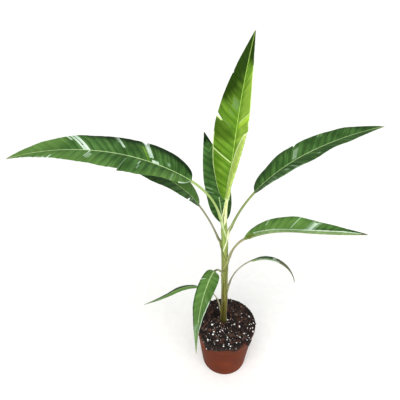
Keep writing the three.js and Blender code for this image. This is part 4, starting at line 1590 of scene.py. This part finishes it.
def lay_out(leaf):
    """The flat blade: x is the place along the midrib and y runs -1 to 1 across."""
    even = np.linspace(0, 1, int(leaf["blade"] / ROW) + 1)
    places = mix(even, (1 - np.cos(np.pi * even)) / 2, 0.35)
    for _, at, *_ in leaf.get("tears", []):
        nearest = int(np.argmin(np.abs(places - at)))
        places[nearest] = at - SLIT
        places = np.insert(places, nearest + 1, at + SLIT)
    count = len(places) - 1
    # Columns to each side of the midrib: few on narrow leaves, most where one is rolled
    half = 14 if leaf["width"][0] < 16 else 28 if leaf.get("curl") else 20
    let_go()
    bpy.ops.mesh.primitive_grid_add(
        x_subdivisions=count, y_subdivisions=2 * half, size=2, location=(0, 0, 0)
    )
    blade = bpy.context.object
    blade.data.uv_layers.remove(blade.data.uv_layers[0])
    p = points_of(blade)
    row = np.round((p[:, 0] + 1) / 2 * count).astype(int)
    column = p[:, 1] * half
    x = places[row]
    reach = outline(leaf, x, np.where(column > 0, 0, 1))
    rib = np.minimum(mix(1.0, 0.45, x) / np.maximum(reach, 0.3), 0.3)
    t = np.clip((np.abs(column) - 1) / (half - 1), 0, 1)
    y = np.where(np.abs(column) < 0.5, 0, mix(rib, 1.0, t**1.1))
    sculpt(blade, np.stack([x, np.sign(column) * y, 0 * x], -1))
    for side, at, inner, *_ in leaf.get("tears", []):
        centres = centres_of(blade)
        torn = (np.abs(centres[:, 0] - at) < SLIT / 2) & (side * centres[:, 1] > inner)
        pick(blade, "polygons", torn)
        edit(bpy.ops.mesh.delete, type="FACE")
        p = points_of(blade)
        whole = (np.abs(p[:, 0] - at) < 1.5 * SLIT) & (side * p[:, 1] <= inner)
        pick(blade, "vertices", whole)
        edit(bpy.ops.mesh.remove_doubles, threshold=3 * SLIT)
    return blade


# %% [markdown]
# ### Painting
# Cell lines lose their green one vein at a time, so a streak's inner and outer ends are
# a little ragged from vein to vein. Near its ends the mesh also notes how soon it stops,
# and the skin breaks up into wisps there. The midrib is painted last, over the streaks.


# %% Paint the streaks on the flat grid
def streak_ends(leaf, p):
    """0 well inside a streak, rising to 1 where it is about to stop."""
    row, across = p[:, 0], p[:, 1]
    reach = outline(leaf, row, np.where(across >= 0, 0, 1))
    length = leaf["blade"]
    fade = np.ones(len(row))
    for _, side, row0, row1, in0, in1 in MARKS.get(leaf["name"], []):
        share = side * across
        left = np.full(len(row), 9.0)
        if 0.06 < in0 < 0.85:
            left = np.minimum(left, (share - in0) * reach / 2.5)
        if in1 < 0.9:
            left = np.minimum(left, (in1 - share) * reach / 2.5)
        if (row1 - row0) * length > 14:
            if row0 > 0.01:
                left = np.minimum(left, (row - row0) * length / 3)
            if row1 < 0.99:
                left = np.minimum(left, (row1 - row) * length / 3)
        here = (row > row0 - 0.002) & (row < row1 + 0.002)
        here &= (share > in0 - 0.07) & (share < in1 + 0.07)
        fade = np.where(here, np.clip(1 - left, 0, 1), fade)
    return fade


def paint_marks(leaf, blade, seed):
    draw = random.Random(seed)
    centres = centres_of(blade)
    x, y = centres[:, 0], centres[:, 1]
    paint = np.zeros(len(x), int)
    veins = np.round(x, 4)
    jitter = {v: draw.uniform(-1, 1) for v in np.unique(veins)}
    wobble = np.array([jitter[v] for v in veins])
    for name, side, row0, row1, in0, in1 in MARKS.get(leaf["name"], []):
        share = side * y
        on_margin = in0 >= 0.7 and in1 >= 0.9
        ragged = 0.0 if on_margin else 0.07 * wobble * min(1.0, 3 * (in1 - in0))
        chosen = (x > row0) & (x < row1)
        chosen &= share > in0 + (ragged if in0 > 0.06 else 0)
        chosen &= share < in1 + (ragged if in1 < 0.9 else 0.1)
        paint[chosen] = PAINTS.index(name)
    reach = outline(leaf, x, np.where(y > 0, 0, 1))
    on_rib = np.abs(y) * reach < mix(0.95, 0.4, x)
    rib_from, rib_to = leaf.get("rib", (0, 1))
    paint[on_rib & (x > rib_from) & (x < rib_to)] = PAINTS.index("rib")
    blade.data.polygons.foreach_set("material_index", paint)
    mark_points(blade, "fade", streak_ends(leaf, points_of(blade)))


# %% [markdown]
# ### Bending
# Every point knows its place along the midrib and its share of the half width. The rule
# slants the veins forward, opens the tears, folds each half up from the midrib and lets
# it droop, rolls a margin over where the leaf has a curl, and lays pleats and a slow
# ruffle on the film. The spine then carries the section to its place.

# %% Bend the grid into a leaf
ROLL = 187  # degrees that a rolled margin turns
PLEATS = ((9.1, 0.6), (12.7, 0.4), (6.3, 0.35))  # length in mm, and share of the depth
RUFFLES = ((46, 0.35), (29, 0.2))  # length and height in mm


def folded_back(leaf, row, side):
    """How far a rolled margin comes back over the face, in shares of the width."""
    back = np.zeros(len(row))
    for which, rows, covers in leaf.get("curl", []):
        back = back + np.interp(row, rows, covers) * (side == which)
    return back


def bend_blade(leaf, spine, blade, seed):
    draw = random.Random(seed)
    p = points_of(blade)
    row, y = p[:, 0], p[:, 1]
    side = np.where(y >= 0, 1, -1)
    share = np.abs(y)
    slant = np.where(y >= 0, *leaf.get("slant", (VEIN_SLANT, VEIN_SLANT)))
    u = row + slant * share * 4 * row * (1 - row)
    sag = np.zeros(len(u))
    for torn, at, inner, opening, before, after in leaf.get("tears", []):
        part = np.clip((share - inner) / (1 - inner), 0, 1) * (side == torn)
        past, away = np.sign(row - at), np.abs(row - at)
        u = u + past * opening * part * np.exp(-away / (2.5 * abs(opening)))
        sag = sag + np.where(past < 0, before, after) * part**1.5 * np.exp(-away / 0.06)
    u = np.clip(u, 0, 1)
    folds = [np.interp(u, [0, 0.5, 1], leaf[key]) for key in ("fold_left", "fold_right")]
    fold = np.where(side > 0, *folds)
    back = folded_back(leaf, row, side)
    reach = outline(leaf, u, np.where(side > 0, 0, 1)) * (1 + back)
    crease = 1 / (1 + back)
    turn_zone = 1.9 / np.maximum(reach, 3)

    def slope(at, k=slice(None)):
        """Angle of the lamina at a share of its width."""
        rolled = (at - crease[k] + turn_zone[k]) / (2 * turn_zone[k])
        rolled = np.clip(rolled, 0, 1) * ROLL * step(back[k], 0.0, 0.08)
        droop = leaf["droop"] * np.minimum(at / crease[k], 1)
        return np.radians(fold[k] - droop + rolled)

    # A point lies where the slopes between the midrib and it add up to
    samples = 96 if leaf.get("curl") else 16
    steps = (np.arange(samples) + 0.5) / samples
    bent = slope(share[:, None] * steps, (slice(None), None))
    sideways = np.cos(bent).mean(1) * share
    upward = np.sin(bent).mean(1) * share
    lean = slope(share)
    # Pleats between the veins, a slow wave along the margin, and the midrib's groove
    length, out = leaf["blade"], share * reach
    pleat, ruffle = np.zeros(len(u)), np.zeros(len(u))
    for wave, size in PLEATS:
        pleat += size * np.sin(2 * np.pi * row * length / wave + draw.uniform(0, 6.28))
    pleat *= np.where(side > 0, *leaf.get("pleats", (0.22, 0.22)))
    pleat *= step(out, 1.0, 7.0) * step(u, 0.0, 0.08) * (1 - 0.6 * step(share, 0.8, 1))
    for wave, size in RUFFLES:
        phase = draw.uniform(0, 6.28)
        ruffle += size * np.sin(2 * np.pi * row * length / wave + phase + side)
    ruffle *= share**3 * step(u, 0.02, 0.2) * np.minimum(reach / 25, 1.0)
    groove = -0.45 * bell(out, 0, 0.7) + 0.25 * bell(out, 1.9, 0.7)
    off = pleat + ruffle + groove * (1 - 0.75 * u) - sag
    point, left, up = spine.frame(leaf["petiole"] + u * length)
    across = side * (sideways * reach - np.sin(lean) * off)
    over = upward * reach + np.cos(lean) * off
    sculpt(blade, (point + left * across[:, None] + up * over[:, None]) * MM)
    return row, share, reach, u, side


# %% [markdown]
# ### Film and ridge
# The film of a blade is much the same all over and swells to a ridge below the midrib.
# Solidify reads that from a vertex group, and gives the under side the second half of the
# materials. Before that the mesh notes its UV map and its bands of painted light and shade.

# %% Give it thickness, veins to read and soft shading
FILM = 0.42  # millimetres of lamina


def skin_map(piece, across, lengthwise):
    """Writes a UV map from two lengths in metres at every point."""
    layer = piece.data.uv_layers.new(name="skin")
    corners = np.empty(len(piece.data.loops), int)
    piece.data.loops.foreach_get("vertex_index", corners)
    flat = np.stack([across[corners], lengthwise[corners]], -1)
    layer.data.foreach_set("uv", flat.ravel())


def finish_blade(leaf, blade, row, share, reach, u, side):
    length, stalk = leaf["blade"], leaf["stalk"][1]
    skin_map(blade, row * length * MM, side * share * reach * MM)
    # Painted light and shade: every point takes its leaf's soft bands, darker below 0 and
    # paler and yellower above 0
    shade = np.zeros(len(u))
    ragged = 0.5 * lumps(row * length, 0 * row, 60 + length, 14)
    for which, amount, soft, rows, limits in LEAF_LIGHT_AND_SHADE.get(leaf["name"], []):
        limit = np.interp(row, rows, limits) + 0.12 * ragged * (soft > 0.12)
        shade += amount * step(share - limit, -soft, soft) * (side == which)
    mark_points(blade, "shade", np.clip(shade, -1, 1))

    grown = step(u, 0, 1.3 * overlap(leaf) / length)
    ridge = (2.0 * stalk * (1 - u) ** 0.9 + 0.5) * mix(0.36, 1, grown)
    width = 0.62 * stalk * (1 - u) + 0.35
    thick = FILM + (ridge - FILM) * np.exp(-((share * reach / width) ** 2))
    most = float(thick.max())
    group = blade.vertex_groups.new(name="thickness")
    for i, value in enumerate(thick / most):
        group.add([i], float(value), "REPLACE")
    film = blade.modifiers.new("film", "SOLIDIFY")
    film.thickness = most * MM
    film.offset = -1
    film.vertex_group = group.name
    film.material_offset = len(PAINTS)
    settle(blade, film)
    blade.vertex_groups.clear()


# %% Make the blades
for number, leaf in enumerate(LEAVES):
    blade = lay_out(leaf)
    dress(blade, *(YOUNG if leaf["name"] == "spear" else MATURE))
    paint_marks(leaf, blade, 100 + number)
    measures = bend_blade(leaf, Spine(leaf), blade, 200 + number)
    finish_blade(leaf, blade, *measures)
    smooth(blade, 60)
    slot = "blade_spear" if leaf["name"] == "spear" else "blade"
    hand_over(blade, "leaf_" + leaf["name"], slot, "blade_" + leaf["name"])

# %% [markdown]
# ## Studio
# A pale floor under an even white sky, as for a catalogue picture. A wide sun stands
# for the big soft light above and in front, a little to the left, and a soft disc on
# the right lifts the shadow side.

# %% Floor
FLOOR_GAP = 0.6  # millimetres below the pot, so that the two never share a plane
let_go()
bpy.ops.mesh.primitive_plane_add(size=12, location=(0, 0, -FLOOR_GAP * MM))
floor = bpy.context.object
floor.name = "studio_floor"
paper, tree, shader = new_material("studio_paper")
place = add(tree, "TexCoord", {}, "Object")
# The paper's tone drifts over 17 mm, by a shade that hardly shows
fleck = add(tree, "TexNoise", {"Vector": place, "Scale": cells(16.667)})
stops = ((0.3, "f4f4f3"), (0.7, "f8f8f7"))
colour = add(tree, "ValToRGB", [fleck], stops=stops)
plug(shader, {"Base Color": colour, "Roughness": 0.9})
dress(floor, paper)
print("floor laid", FLOOR_GAP, "mm below the pot")


# %% Lights and sky
def light_up(name, kind, colour, power):
    """Adds a light, and returns its data and the object that holds it."""
    light = bpy.data.lights.new(name, kind)
    light.color = colour
    light.energy = power
    lamp = bpy.data.objects.new(name, light)
    bpy.context.scene.collection.objects.link(lamp)
    return light, lamp


disc, disc_lamp = light_up("fill_light", "AREA", (0.99, 0.99, 1), 8)
disc.shape = "DISK"
disc.size = 1.0
disc_lamp.location = (1.2, -0.9, 0.8)
to = np.array((0, 0, 0.2)) - np.array(disc_lamp.location)
disc_lamp.rotation_euler = (
    math.atan2(math.hypot(to[0], to[1]), -to[2]),
    0,
    math.atan2(to[1], to[0]) - math.pi / 2,
)
sun, sun_lamp = light_up("key_light", "SUN", (1, 0.99, 0.97), 2.1)
sun.angle = math.radians(50)
sun_lamp.rotation_euler = (math.radians(38), 0, math.radians(-12))

sky = bpy.data.worlds.new("studio_sky")
sky.use_nodes = True
plug(sky.node_tree.nodes["Background"], {"Color": (1, 1, 1, 1), "Strength": 0.6})
bpy.context.scene.world = sky
bpy.context.scene.view_settings.view_transform = "Standard"
print("lights:", disc_lamp.name, "and", sun_lamp.name)
